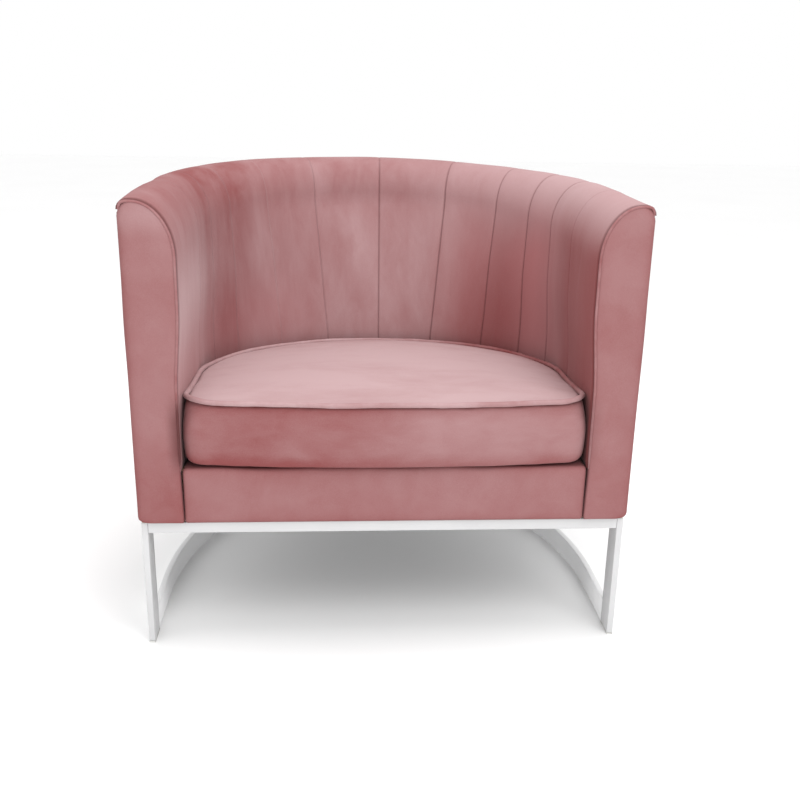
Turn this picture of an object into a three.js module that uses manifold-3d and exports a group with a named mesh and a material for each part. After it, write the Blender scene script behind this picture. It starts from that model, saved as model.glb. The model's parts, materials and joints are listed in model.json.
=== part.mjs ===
// An upholstered tub armchair with a loose seat cushion, on a sled base of flat steel bar.
// Millimetres, +Z up, the front towards -Y. The origin is on the floor under the middle of the chair.
// Inside this file Y is counted from the front face of the arms, and the group shifts it at the end.
import * as THREE from 'three';
import { mergeVertices } from 'three/addons/utils/BufferGeometryUtils.js';
import Module from 'manifold-3d';

const wasm = await Module();
wasm.setup();

// ---------------------------------------------------------------- driving dimensions

const gap = 0.3; // clearance between pieces that rest on each other
const leftAndRight = { left: -1, right: 1 };

// The wall of the tub, seen from above: two straight arms joined by half an ellipse.
const shellPlan = { halfWidth: 390, straightEnd: 290, reach: 395 };
const armRimHeight = 714;
const rimRise = 23; // how much higher the rim is at the back than at the arms
const bodyBottom = 217;
const innerBottom = 304; // where the inside upholstery starts, behind the cushion

// The thickness of the wall.
const armThickness = 73;
const backThicknessLow = 160;
const backThicknessHigh = 80;
const leanLow = 390; // height where the inner back starts to lean
const leanHigh = 660;

// The roll along the top of the wall is broader at the arms.
const armRoll = { width: 57, height: 83 };
const backRoll = { width: 45, height: 65 };
const outerCornerRadius = 15;

// Layers of the wall, as distances in from its outer surface.
const fabric = 3;
const outerBoardLayer = [3.3, 6.3];
const timberLayer = [6.6, 28.6];
const innerBoardLayer = [28.9, 32.9];
const foamStart = 33.2;
const topRailDrop = 26.3; // rim to the top of the timber
const topRailHeight = 22;
const bottomRailHeight = 40;

// Welts: cord covered in the fabric.
const armPipingRadius = 3.2;
const rimWeltRadius = 3;
const rimWeltDrop = 18.6;
const armFacingDepth = 6.4;
const armPanelFront = 6.8;
const armPanelBack = 24.8;
const cordSides = 8;

// The seat frame: boards on edge.
const boardThickness = 22;
const boardTop = 300;
const sideBoardOuter = 359;
const sideBoardEnd = 300;
const seatFront = 25.1;
const backBoardFront = 570;
const backBoardHalf = 200;
const cornerSlope = 0.55; // how much a cross strap shortens for each millimetre behind the side boards

// Webbing, deck and dust cover.
const strapWidth = 50;
const strapThickness = 1.2;
const strapLow = 300.3;
const strapHigh = 301.9;
const strapRamp = 18;
const strapMargin = 2; // from the end of a strap, or of its rise, to the nearest edge
const longStraps = { left: -150, middle: 0, right: 150 };
const crossStraps = { front: 130, middle: 260, rear: 390 };
const deckTop = 310;
const deckThickness = 5;
const deckHalf = 314;
const deckFront = 52.1;
const deckBack = 518;

// The padded apron under the cushion.
const apronHalf = 316.7;
const apronFront = 3;
const apronBottom = 215.3;
const apronFabric = 2.5;
const apronChamfer = 6;
const apronHem = 1.4;

// The loose seat cushion.
const cushionHalf = 312;
const cushionFront = -12.5;
const cushionCornerY = 8; // how far back the front edge has curved where the corners start
const cushionCorner = 66;
const cushionStraightEnd = 250;
const cushionBack = 505;
const cushionBottom = 311;
const cushionFrontTop = 410;
const cushionBackTop = 392;
const cushionCrown = 14;
const cushionWelt = 4.5;
const cushionFabric = 2;
const cushionPanelDrop = 1; // from the top of the welt to the edge of the top panel
const cushionMiddleY = 240;

// The base: a flat bar on edge, 40 by 10, bent to a U on the floor, with a lighter frame above.
const basePlan = { halfWidth: 386, straightEnd: 159, reach: 515 };
const barThickness = 10;
const barWidth = 40;
const baseFront = 9;
const padHeight = 3;
const floorBarTop = 43.3;
const frameBottom = 197;
const frameTop = 215;
const rearPostX = 140;

// Fasteners between the base and the seat frame.
const tabThickness = 4;
const tabWidth = 30;
const boltRadius = 4;
const boltHeadRadius = 7.5;
const boltHeadHeight = 5;
const boltEnd = 238;
const boreClearance = 2; // the bore goes this much further up than the bolt
const socketRadius = 2.6;
const socketDepth = 3;
const insertRadius = 6.3;
const insertHeight = 13;
const tabMargin = 15; // metal beyond a tab's hole
const roundSides = 12;

// ---------------------------------------------------------------- materials

const colours = {
  velvet: 0xb07d7d,
  welt: 0x9d6c6c,
  foam: 0xe6d9a8,
  plywood: 0xc9a878,
  paint: 0xe8e8e6,
  steel: 0x9aa0a4,
  webbing: 0x3a3a3a,
  blackCloth: 0x202020,
  felt: 0x6b6b6b,
};

function makeMaterial(colour, roughness = 0.9, metalness = 0) {
  return new THREE.MeshStandardMaterial({ color: colour, roughness, metalness });
}

const chair = new THREE.Group();

function addPiece(name, geometry, material) {
  const mesh = new THREE.Mesh(geometry, material);
  mesh.name = name;
  chair.add(mesh);
}

// ---------------------------------------------------------------- building closed bodies

// Six times the signed volume, used to turn a body's faces outwards.
function signedVolume(points, faces) {
  const normal = new THREE.Vector3();
  return faces.reduce((sum, [a, b, c]) => {
    normal.crossVectors(points[b], points[c]);
    return sum + points[a].dot(normal);
  }, 0);
}

function bodyFrom(points, faces) {
  const outward = signedVolume(points, faces) > 0;
  const geometry = new THREE.BufferGeometry();
  geometry.setFromPoints(points);
  geometry.setIndex(faces.flatMap(([a, b, c]) => (outward ? [a, b, c] : [a, c, b])));
  geometry.computeVertexNormals();
  return geometry;
}

// How far the middle of two points lies from the upright line at the centre of the tub's curve.
function reachOfMiddle(first, second) {
  const middleX = (first.x + second.x) / 2;
  const middleY = (first.y + second.y) / 2 - shellPlan.straightEnd;
  return Math.hypot(middleX, middleY);
}

// The faces that join ring i to ring j, where each ring has the same number of points. A bent
// quad is split along the diagonal that lies further out, so that nested surfaces stay parallel.
function bandFaces(points, i, j, count) {
  const faces = [];
  for (let k = 0; k < count; k += 1) {
    const next = (k + 1) % count;
    const [a, b, c, d] = [i * count + k, i * count + next, j * count + next, j * count + k];
    if (reachOfMiddle(points[a], points[c]) > reachOfMiddle(points[b], points[d])) {
      faces.push([a, b, c], [a, c, d]);
    } else {
      faces.push([a, b, d], [b, c, d]);
    }
  }
  return faces;
}

// A body through a row of rings, capped at both ends by the flat outline that the rings carry.
function cappedBody(rings, outline) {
  const count = outline.length;
  const points = rings.flat();
  const faces = [];
  for (let i = 0; i + 1 < rings.length; i += 1) {
    faces.push(...bandFaces(points, i, i + 1, count));
  }
  const last = (rings.length - 1) * count;
  const contour = outline.map(([u, v]) => new THREE.Vector2(u, v));
  THREE.ShapeUtils.triangulateShape(contour, []).forEach(([a, b, c]) => {
    faces.push([a, c, b]);
    faces.push([last + a, last + b, last + c]);
  });
  return bodyFrom(points, faces);
}

// A body through rings that return to the first one.
function loopBody(rings) {
  const count = rings[0].length;
  const points = rings.flat();
  const faces = rings.flatMap((_, i) => bandFaces(points, i, (i + 1) % rings.length, count));
  return bodyFrom(points, faces);
}

// A body through rings that shrink to one point at each end.
function pointedBody(firstPoint, rings, lastPoint) {
  const count = rings[0].length;
  const points = [...rings.flat(), firstPoint, lastPoint];
  const firstIndex = points.length - 2;
  const lastIndex = points.length - 1;
  const last = (rings.length - 1) * count;
  const faces = [];
  for (let i = 0; i + 1 < rings.length; i += 1) {
    faces.push(...bandFaces(points, i, i + 1, count));
  }
  for (let k = 0; k < count; k += 1) {
    const next = (k + 1) % count;
    faces.push([firstIndex, next, k]);
    faces.push([lastIndex, last + k, last + next]);
  }
  return bodyFrom(points, faces);
}

// A box between two corners.
function boxBetween(low, high) {
  const size = high.map((value, i) => value - low[i]);
  const middle = high.map((value, i) => (value + low[i]) / 2);
  return new THREE.BoxGeometry(...size).translate(...middle);
}

// A flat outline in plan, raised from one height to another.
function raised(shape, bottom, top) {
  const options = { depth: top - bottom, bevelEnabled: false, curveSegments: roundSides };
  return new THREE.ExtrudeGeometry(shape, options).translate(0, 0, bottom);
}

// A flat outline through corners, turned anticlockwise so that holes can be cut in it.
function shapeThrough(corners) {
  const points = corners.map(([x, y]) => new THREE.Vector2(x, y));
  return new THREE.Shape(THREE.ShapeUtils.isClockWise(points) ? points.reverse() : points);
}

// A turned piece about a vertical axis, from its radius and height pairs.
function turned(profile, x, y) {
  const points = profile.map(([radius, height]) => new THREE.Vector2(radius, height));
  return new THREE.LatheGeometry(points, roundSides).rotateX(Math.PI / 2).translate(x, y, 0);
}

function toManifold(geometry) {
  const bare = geometry.clone();
  bare.deleteAttribute('normal');
  bare.deleteAttribute('uv');
  const merged = mergeVertices(bare, 1e-3);
  const vertProperties = new Float32Array(merged.attributes.position.array);
  const triVerts = new Uint32Array(merged.index.array);
  return new wasm.Manifold(new wasm.Mesh({ numProp: 3, vertProperties, triVerts }));
}

// The first geometry with the others cut out of it.
function cutFrom(geometry, cutters) {
  const whole = toManifold(geometry);
  const solid = cutters.reduce((rest, cutter) => rest.subtract(toManifold(cutter)), whole);
  const mesh = solid.getMesh();
  const result = new THREE.BufferGeometry();
  result.setAttribute('position', new THREE.BufferAttribute(new Float32Array(mesh.vertProperties), 3));
  result.setIndex(new THREE.BufferAttribute(new Uint32Array(mesh.triVerts), 1));
  result.computeVertexNormals();
  return result;
}

// ---------------------------------------------------------------- the U-shaped plans

// Places along a U: -2 is the left front end, -1 to 1 the curve round the back, 2 the right front end.
function placesAlong(straightSteps, curveSteps) {
  const places = [];
  for (let i = 0; i < straightSteps; i += 1) {
    places.push(-2 + i / straightSteps);
  }
  for (let i = 0; i <= curveSteps; i += 1) {
    places.push(-1 + (2 * i) / curveSteps);
  }
  for (let i = 1; i <= straightSteps; i += 1) {
    places.push(1 + i / straightSteps);
  }
  return places;
}

const shellPlaces = placesAlong(2, 28);

// The point at a place on a U, a distance in from its outside, at a height.
function onPlan(plan, place, inset, height) {
  const width = plan.halfWidth - inset;
  if (Math.abs(place) > 1) {
    const forward = (Math.abs(place) - 1) * plan.straightEnd;
    return new THREE.Vector3(Math.sign(place) * width, plan.straightEnd - forward, height);
  }
  const angle = (place * Math.PI) / 2;
  const depth = plan.reach - inset;
  return new THREE.Vector3(width * Math.sin(angle), plan.straightEnd + depth * Math.cos(angle), height);
}

// A body that follows a U, with an outline of inset and height pairs at every place.
function alongPlan(plan, places, outlineAt) {
  const rings = places.map((place) => outlineAt(place)
    .map(([inset, height]) => onPlan(plan, place, inset, height)));
  return cappedBody(rings, outlineAt(places[0]));
}

// The places of a piece that starts a distance behind the front of the U.
function placesFrom(plan, places, front) {
  const end = 2 - front / plan.straightEnd;
  return places.map((place) => THREE.MathUtils.clamp(place, -end, end));
}

function rectangle([nearOuter, nearInner], bottom, top) {
  return [[nearOuter, bottom], [nearInner, bottom], [nearInner, top], [nearOuter, top]];
}

function rimHeight(place) {
  return armRimHeight + rimRise * Math.cos((place * Math.PI) / 4) ** 2;
}

// 1 in the middle of the back, falling to 0 where the arms begin.
function backness(place) {
  return Math.abs(place) < 1 ? Math.cos((place * Math.PI) / 2) ** 2 : 0;
}

// The thickness of the wall at a place and height: it is thickest low in the middle of the back.
function wallThickness(place, height) {
  const lean = THREE.MathUtils.clamp((height - leanLow) / (leanHigh - leanLow), 0, 1);
  const backThickness = THREE.MathUtils.lerp(backThicknessLow, backThicknessHigh, lean);
  return THREE.MathUtils.lerp(armThickness, backThickness, backness(place));
}

// The outline of the wall's inside and rolled top, moved in by a distance: inset and height pairs.
function rollOutline(place, bottom, moved, leastInset = 0) {
  const rim = rimHeight(place);
  const rollWidth = THREE.MathUtils.lerp(armRoll.width, backRoll.width, backness(place));
  const rollHeight = THREE.MathUtils.lerp(armRoll.height, backRoll.height, backness(place));
  const rollStart = rim - rollHeight;
  const rollInset = wallThickness(place, rollStart);
  const outline = [bottom, leanLow, rollStart - 1]
    .map((height) => [wallThickness(place, height) - moved, height]);
  const rollSteps = 5;
  for (let i = 0; i <= rollSteps; i += 1) {
    const angle = (i / rollSteps) * (Math.PI / 2);
    outline.push([
      rollInset - rollWidth + (rollWidth - moved) * Math.cos(angle),
      rollStart + (rollHeight - moved) * Math.sin(angle),
    ]);
  }
  const cornerSteps = 3;
  for (let i = 0; i <= cornerSteps; i += 1) {
    const angle = (i / cornerSteps) * (Math.PI / 2);
    outline.push([
      outerCornerRadius - (outerCornerRadius - moved) * Math.sin(angle),
      rim - outerCornerRadius + (outerCornerRadius - moved) * Math.cos(angle),
    ]);
  }
  return outline.map(([inset, height]) => [Math.max(inset, leastInset), height]);
}

// Drops the points of an outline that repeat the one before.
function withoutRepeats(outline) {
  return outline.filter(([inset, height], i) => {
    const [lastInset, lastHeight] = outline[(i + outline.length - 1) % outline.length];
    return Math.hypot(inset - lastInset, height - lastHeight) > 1e-3;
  });
}

function circleOutline(inset, height, radius) {
  return Array.from({ length: cordSides }, (_, i) => {
    const angle = (2 * Math.PI * i) / cordSides;
    return [inset + radius * Math.cos(angle), height + radius * Math.sin(angle)];
  });
}

// ---------------------------------------------------------------- the wall of the tub

function addCovers() {
  const velvet = makeMaterial(colours.velvet);
  const insidePlaces = placesFrom(shellPlan, shellPlaces, 2 * armPipingRadius + 3 * gap);
  const outsidePlaces = placesFrom(shellPlan, shellPlaces, armFacingDepth + gap);
  addPiece('inner_cover', alongPlan(shellPlan, insidePlaces, (place) => {
    const outside = rollOutline(place, innerBottom, 0);
    const inside = rollOutline(place, innerBottom, fabric);
    return [...outside, ...inside.reverse()];
  }), velvet);
  addPiece('outer_cover', alongPlan(shellPlan, outsidePlaces, (place) => {
    const top = rimHeight(place) - rimWeltDrop - rimWeltRadius - gap;
    return rectangle([0, fabric], bodyBottom, top);
  }), velvet);
  addPiece('rim_welt', alongPlan(shellPlan, outsidePlaces, (place) => (
    circleOutline(rimWeltRadius + gap, rimHeight(place) - rimWeltDrop, rimWeltRadius)
  )), makeMaterial(colours.welt));
}

function addBackFoam() {
  const leastInset = 2 * rimWeltRadius + 2 * gap;
  const places = placesFrom(shellPlan, shellPlaces, armPanelBack + gap);
  const foam = alongPlan(shellPlan, places, (place) => {
    const foot = rimHeight(place) - topRailDrop + gap;
    const outside = rollOutline(place, innerBottom, fabric + gap, leastInset);
    outside.pop();
    return [...outside, [leastInset, foot], [foamStart, foot], [foamStart, innerBottom]];
  });
  addPiece('back_foam', foam, makeMaterial(colours.foam));
}

function addBoards() {
  const plywood = makeMaterial(colours.plywood, 0.8);
  const places = placesFrom(shellPlan, shellPlaces, armPanelBack + gap);
  addPiece('outer_board', alongPlan(shellPlan, places, (place) => (
    rectangle(outerBoardLayer, bodyBottom, rimHeight(place) - topRailDrop)
  )), plywood);
  addPiece('inner_board', alongPlan(shellPlan, places, (place) => (
    rectangle(innerBoardLayer, innerBottom, rimHeight(place) - topRailDrop)
  )), plywood);
  addPiece('shell_top_rail', alongPlan(shellPlan, places, (place) => {
    const top = rimHeight(place) - topRailDrop;
    return rectangle(timberLayer, top - topRailHeight, top);
  }), plywood);
  addPiece('shell_bottom_rail', alongPlan(shellPlan, places, () => (
    rectangle(timberLayer, bodyBottom, bodyBottom + bottomRailHeight)
  )), plywood);
}

// Upright timbers between the bottom rail and the top rail, one on each side of the back.
function addStuds() {
  const studStep = 4; // steps of the curve from the middle of the back to a stud
  const middle = (shellPlaces.length - 1) / 2;
  for (const [side, sign] of Object.entries(leftAndRight)) {
    const ends = [middle + sign * studStep, middle + sign * (studStep + 1)].map((i) => shellPlaces[i]);
    addPiece(`back_stud_${side}`, alongPlan(shellPlan, ends, (place) => {
      const top = rimHeight(place) - topRailDrop - topRailHeight - gap;
      return rectangle(timberLayer, bodyBottom + bottomRailHeight + gap, top);
    }), makeMaterial(colours.plywood, 0.8));
  }
}

// A plate with the arm's profile, between two distances from the front.
function armPlate(sign, outline, front, back) {
  const atDepth = (depth) => outline
    .map(([inset, height]) => new THREE.Vector3(sign * (shellPlan.halfWidth - inset), depth, height));
  return cappedBody([atDepth(front), atDepth(back)], outline);
}

function addArmFronts() {
  const plateInset = 2 * rimWeltRadius + 2 * gap;
  const facingInset = 2 * armPipingRadius + gap;
  const panel = withoutRepeats([
    [plateInset, bodyBottom],
    ...rollOutline(2, bodyBottom, fabric + gap, plateInset),
  ]);
  const facing = withoutRepeats([
    [0, bodyBottom],
    ...rollOutline(2, bodyBottom, facingInset),
    [facingInset, armRimHeight - outerCornerRadius - facingInset],
    [0, armRimHeight - outerCornerRadius - 1.5 * facingInset],
  ]);
  for (const [side, sign] of Object.entries(leftAndRight)) {
    addPiece(`arm_front_panel_${side}`, armPlate(sign, panel, armPanelFront, armPanelBack),
      makeMaterial(colours.plywood, 0.8));
    addPiece(`arm_facing_${side}`, armPlate(sign, facing, 0, armFacingDepth),
      makeMaterial(colours.velvet));
    addPiece(`arm_piping_${side}`, armPiping(sign), makeMaterial(colours.welt));
  }
}

// A welt round the inner edge and the top of an arm's front.
function armPiping(sign) {
  const path = rollOutline(2, bodyBottom, armPipingRadius);
  const rings = path.map(([inset, height], i) => {
    const [fromInset, fromHeight] = path[Math.max(i - 1, 0)];
    const [toInset, toHeight] = path[Math.min(i + 1, path.length - 1)];
    const along = new THREE.Vector2(toInset - fromInset, toHeight - fromHeight).normalize();
    return Array.from({ length: cordSides }, (_, k) => {
      const angle = (2 * Math.PI * k) / cordSides;
      const across = armPipingRadius * Math.cos(angle);
      return new THREE.Vector3(
        sign * (shellPlan.halfWidth - inset + across * along.y),
        armPipingRadius + armPipingRadius * Math.sin(angle),
        height + across * along.x,
      );
    });
  });
  return cappedBody(rings, circleOutline(0, 0, armPipingRadius));
}

// ---------------------------------------------------------------- the seat

// A vertical bore for a threaded insert, from below a board up past the bolt's end.
function insertBore(x, y) {
  const radius = insertRadius + gap;
  const start = bodyBottom - 1; // a little below the board, so that the bore opens cleanly
  const end = boltEnd + boreClearance;
  return turned([[0, start], [radius, start], [radius, end], [0, end]], x, y);
}

const frontBolt = { x: sideBoardOuter - boardThickness / 2, y: 80 };
const rearBolt = { x: rearPostX, y: backBoardFront + boardThickness / 2 };

function addSeatFrame() {
  const plywood = makeMaterial(colours.plywood, 0.8);
  const sideInner = sideBoardOuter - boardThickness;
  const backBoardBack = backBoardFront + boardThickness;
  addPiece('seat_front_board', boxBetween(
    [-sideInner + gap, seatFront, bodyBottom],
    [sideInner - gap, seatFront + boardThickness, boardTop],
  ), plywood);
  addPiece('seat_back_board', cutFrom(boxBetween(
    [-backBoardHalf, backBoardFront, bodyBottom],
    [backBoardHalf, backBoardBack, boardTop],
  ), [insertBore(-rearBolt.x, rearBolt.y), insertBore(rearBolt.x, rearBolt.y)]), plywood);
  for (const [side, sign] of Object.entries(leftAndRight)) {
    const [low, high] = [sign * sideInner, sign * sideBoardOuter].sort((a, b) => a - b);
    addPiece(`seat_side_board_${side}`, cutFrom(
      boxBetween([low, seatFront, bodyBottom], [high, sideBoardEnd, boardTop]),
      [insertBore(sign * frontBolt.x, frontBolt.y)],
    ), plywood);
    const corner = [
      [sign * sideInner, sideBoardEnd + gap],
      [sign * sideBoardOuter, sideBoardEnd + gap],
      [sign * (backBoardHalf + gap), backBoardBack],
      [sign * (backBoardHalf + gap), backBoardFront],
    ];
    addPiece(`seat_corner_board_${side}`, raised(shapeThrough(corner), bodyBottom, boardTop), plywood);
  }
}

// The side view of a strap that passes over and under the straps it crosses.
function wovenShape(start, end, crossings, startsHigh) {
  const half = strapWidth / 2 + strapMargin;
  const line = [[start, strapLow]];
  crossings.forEach((middle, i) => {
    if ((i % 2 === 0) === startsHigh) {
      line.push([middle - half - strapRamp, strapLow]);
      line.push([middle - half, strapHigh]);
      line.push([middle + half, strapHigh]);
      line.push([middle + half + strapRamp, strapLow]);
    }
  });
  line.push([end, strapLow]);
  const top = line.map(([along, height]) => [along, height + strapThickness]);
  return shapeThrough([...line, ...top.reverse()]);
}

// Straps of elastic webbing, woven through each other.
function addWebbing() {
  const webbing = makeMaterial(colours.webbing);
  const options = { depth: strapWidth, bevelEnabled: false };
  const longStart = seatFront + strapMargin;
  const longEnd = backBoardFront + boardThickness - strapMargin;
  Object.entries(longStraps).forEach(([name, x], i) => {
    const shape = wovenShape(longStart, longEnd, Object.values(crossStraps), i % 2 === 0);
    const strap = new THREE.ExtrudeGeometry(shape, options);
    strap.rotateX(Math.PI / 2).rotateZ(Math.PI / 2).translate(x - strapWidth / 2, 0, 0);
    addPiece(`strap_long_${name}`, strap, webbing);
  });
  Object.entries(crossStraps).forEach(([name, y], i) => {
    const pastSideBoards = Math.max(y + strapWidth / 2 - sideBoardEnd, 0);
    const half = sideBoardOuter - 2 * strapMargin - cornerSlope * pastSideBoards;
    const shape = wovenShape(-half, half, Object.values(longStraps), i % 2 === 1);
    const strap = new THREE.ExtrudeGeometry(shape, options);
    strap.rotateX(Math.PI / 2).translate(0, y + strapWidth / 2, 0);
    addPiece(`strap_cross_${name}`, strap, webbing);
  });
}

// A flat outline with a straight front and a rounded back.
function roundBackedShape(half, front, straightEnd, back) {
  const shape = new THREE.Shape();
  shape.moveTo(-half, front);
  shape.lineTo(half, front);
  shape.lineTo(half, straightEnd);
  shape.absellipse(0, straightEnd, half, back - straightEnd, 0, Math.PI, false, 0);
  shape.lineTo(-half, front);
  return shape;
}

function addDeck() {
  const cloth = makeMaterial(colours.blackCloth);
  const deck = roundBackedShape(deckHalf, deckFront, shellPlan.straightEnd, deckBack);
  addPiece('seat_deck_pad', raised(deck, deckTop - deckThickness, deckTop), cloth);
  const half = shellPlan.halfWidth - fabric - gap;
  const back = shellPlan.straightEnd + shellPlan.reach - fabric - 2;
  const underside = roundBackedShape(half, seatFront + boardThickness, shellPlan.straightEnd, back);
  for (const { x, y } of boltPlaces()) {
    const hole = new THREE.Path();
    hole.absarc(x, y, boltRadius + 2 * gap, 0, 2 * Math.PI, true);
    underside.holes.push(hole);
  }
  addPiece('dust_cover', raised(underside, frameTop + gap, bodyBottom - gap), cloth);
}

function addApron() {
  const inner = apronFront + apronFabric;
  const back = seatFront + boardThickness - 2;
  const cover = shapeThrough([
    [back, apronBottom],
    [apronFront, apronBottom],
    [apronFront, deckTop - apronChamfer],
    [apronFront + apronChamfer, deckTop],
    [back, deckTop],
    [back, deckTop - apronFabric],
    [inner + apronChamfer, deckTop - apronFabric],
    [inner, deckTop - apronFabric - apronChamfer + 1],
    [inner, apronBottom + apronHem],
    [back, apronBottom + apronHem],
  ]);
  addPiece('apron_cover', alongX(cover, apronHalf), makeMaterial(colours.velvet));
  const foamTop = boardTop - gap;
  addPiece('apron_foam', boxBetween(
    [-apronHalf, inner + gap, bodyBottom + gap],
    [apronHalf, seatFront - gap, foamTop],
  ), makeMaterial(colours.foam));
}

// An outline of Y and Z, run along X to the same distance on both sides.
function alongX(shape, half) {
  const options = { depth: 2 * half, bevelEnabled: false };
  return new THREE.ExtrudeGeometry(shape, options)
    .rotateX(Math.PI / 2)
    .rotateZ(Math.PI / 2)
    .translate(-half, 0, 0);
}

// ---------------------------------------------------------------- the cushion

// The cushion seen from above: a bowed front, round front corners and an elliptical back.
function cushionPlan() {
  const path = new THREE.Path();
  const cornerX = cushionHalf - cushionCorner;
  const cornerY = cushionCornerY + cushionCorner;
  const backReach = cushionBack - cushionStraightEnd;
  path.moveTo(0, cushionFront);
  path.quadraticCurveTo(cornerX * 0.6, cushionFront, cornerX, cushionCornerY);
  path.absellipse(cornerX, cornerY, cushionCorner, cushionCorner, -Math.PI / 2, 0, false, 0);
  path.lineTo(cushionHalf, cushionStraightEnd);
  path.absellipse(0, cushionStraightEnd, cushionHalf, backReach, 0, Math.PI, false, 0);
  path.lineTo(-cushionHalf, cornerY);
  path.absellipse(-cornerX, cornerY, cushionCorner, cushionCorner, Math.PI, 1.5 * Math.PI, false, 0);
  path.quadraticCurveTo(-cornerX * 0.6, cushionFront, 0, cushionFront);
  return path;
}

const cushionSteps = 44;
const cushionEdge = cushionPlan().getSpacedPoints(cushionSteps).slice(0, cushionSteps);
const cushionMiddle = new THREE.Vector2(0, cushionMiddleY);

// A ring round the cushion, moved in by a distance and shrunk towards the middle.
function cushionRing(moved, shrink, heightAt) {
  return cushionEdge.map((point, i) => {
    const before = cushionEdge[(i + cushionSteps - 1) % cushionSteps];
    const after = cushionEdge[(i + 1) % cushionSteps];
    const along = after.clone().sub(before).normalize();
    const inward = new THREE.Vector2(-along.y, along.x);
    const at = point.clone().addScaledVector(inward, moved).sub(cushionMiddle);
    at.multiplyScalar(shrink).add(cushionMiddle);
    return new THREE.Vector3(at.x, at.y, heightAt(at.y));
  });
}

// The height of the cushion's top welt, which falls towards the back.
function cushionTopAt(y) {
  const along = (y - cushionFront) / (cushionBack - cushionFront);
  return THREE.MathUtils.lerp(cushionFrontTop, cushionBackTop, along);
}

function crownedRing(moved, shrink, below) {
  const crown = cushionCrown * (1 - shrink ** 2);
  return cushionRing(moved, shrink, (y) => cushionTopAt(y) + crown - below);
}

function crownedMiddle(below) {
  const { x, y } = cushionMiddle;
  return new THREE.Vector3(x, y, cushionTopAt(y) + cushionCrown - below);
}

function addCushion() {
  const velvet = makeMaterial(colours.velvet);
  const weltSpace = 2 * cushionWelt + gap;
  const shrinks = [1, 0.8, 0.55, 0.28];
  const middleAt = (height) => new THREE.Vector3(cushionMiddle.x, cushionMiddle.y, height);
  const foamBottom = cushionBottom + cushionFabric + gap;
  const foamInset = cushionFabric + gap;
  const panelBottom = cushionPanelDrop + cushionFabric;
  const underPanel = panelBottom + gap;
  addPiece('cushion_foam', pointedBody(
    middleAt(foamBottom),
    [
      cushionRing(foamInset, 1, () => foamBottom),
      cushionRing(foamInset, 1, (y) => cushionTopAt(y) - weltSpace - gap),
      cushionRing(weltSpace + gap, 1, (y) => cushionTopAt(y) - weltSpace - gap),
      ...shrinks.map((shrink) => crownedRing(weltSpace + gap, shrink, underPanel)),
    ],
    crownedMiddle(underPanel),
  ), makeMaterial(colours.foam));
  addPiece('cushion_top_panel', pointedBody(
    crownedMiddle(panelBottom),
    [
      ...shrinks.map((shrink) => crownedRing(weltSpace, shrink, panelBottom)).reverse(),
      ...shrinks.map((shrink) => crownedRing(weltSpace, shrink, cushionPanelDrop)),
    ],
    crownedMiddle(cushionPanelDrop),
  ), velvet);
  addPiece('cushion_bottom_panel', pointedBody(
    middleAt(cushionBottom),
    [
      cushionRing(foamInset, 1, () => cushionBottom),
      cushionRing(foamInset, 1, () => cushionBottom + cushionFabric),
    ],
    middleAt(cushionBottom + cushionFabric),
  ), velvet);
  addPiece('cushion_boxing', cushionLoop((topAt) => (
    rectangle([0, cushionFabric], cushionBottom, topAt - weltSpace)
  )), velvet);
  addPiece('cushion_welt', cushionLoop((topAt) => (
    circleOutline(cushionWelt, topAt - cushionWelt, cushionWelt)
  )), makeMaterial(colours.welt));
}

// A body that runs all round the cushion, with an outline of inset and height pairs.
function cushionLoop(outlineAt) {
  const count = outlineAt(0).length;
  const byPoint = Array.from({ length: count }, (_, k) => {
    const inset = outlineAt(0)[k][0];
    return cushionRing(inset, 1, (y) => outlineAt(cushionTopAt(y))[k][1]);
  });
  const rings = cushionEdge.map((_, i) => byPoint.map((ring) => ring[i]));
  return loopBody(rings);
}

// ---------------------------------------------------------------- the base

// The stretch of the base's curve that a rear post stands on.
function rearPostPlaces(sign) {
  const angle = Math.asin(rearPostX / basePlan.halfWidth);
  const pace = Math.hypot(basePlan.halfWidth * Math.cos(angle), basePlan.reach * Math.sin(angle));
  const half = barWidth / 2 / pace;
  return [angle - half, angle + half].map((at) => (sign * at * 2) / Math.PI);
}

function addBase() {
  const paint = makeMaterial(colours.paint, 0.45);
  const bar = [0, barThickness];
  const basePlaces = placesFrom(basePlan, placesAlong(1, 32), baseFront + barWidth + gap);
  const barBottom = padHeight + gap;
  addPiece('floor_bar', alongPlan(basePlan, basePlaces, () => (
    rectangle(bar, barBottom, floorBarTop)
  )), paint);
  addPiece('top_frame', alongPlan(basePlan, basePlaces, () => (
    rectangle(bar, frameBottom, frameTop)
  )), paint);
  const postInner = basePlan.halfWidth - barThickness;
  addPiece('front_rail', boxBetween(
    [-postInner + gap, baseFront, frameBottom],
    [postInner - gap, baseFront + barThickness, frameTop],
  ), paint);
  for (const [side, sign] of Object.entries(leftAndRight)) {
    const [low, high] = [sign * postInner, sign * basePlan.halfWidth].sort((a, b) => a - b);
    const back = baseFront + barWidth;
    addPiece(`front_post_${side}`, boxBetween([low, baseFront, barBottom], [high, back, frameTop]), paint);
    addPiece(`front_pad_${side}`, boxBetween([low, baseFront, 0], [high, back, padHeight]),
      makeMaterial(colours.felt));
    const places = rearPostPlaces(sign);
    addPiece(`rear_post_${side}`, alongPlan(basePlan, places, () => (
      rectangle(bar, floorBarTop + gap, frameBottom - gap)
    )), paint);
    addPiece(`rear_pad_${side}`, alongPlan(basePlan, places, () => (
      rectangle(bar, 0, padHeight)
    )), makeMaterial(colours.felt));
  }
}

// Where the four bolts stand, in plan.
function boltPlaces() {
  return [-1, 1].flatMap((sign) => [
    { name: `front_${sign < 0 ? 'left' : 'right'}`, x: sign * frontBolt.x, y: frontBolt.y },
    { name: `rear_${sign < 0 ? 'left' : 'right'}`, x: sign * rearBolt.x, y: rearBolt.y },
  ]);
}

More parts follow.
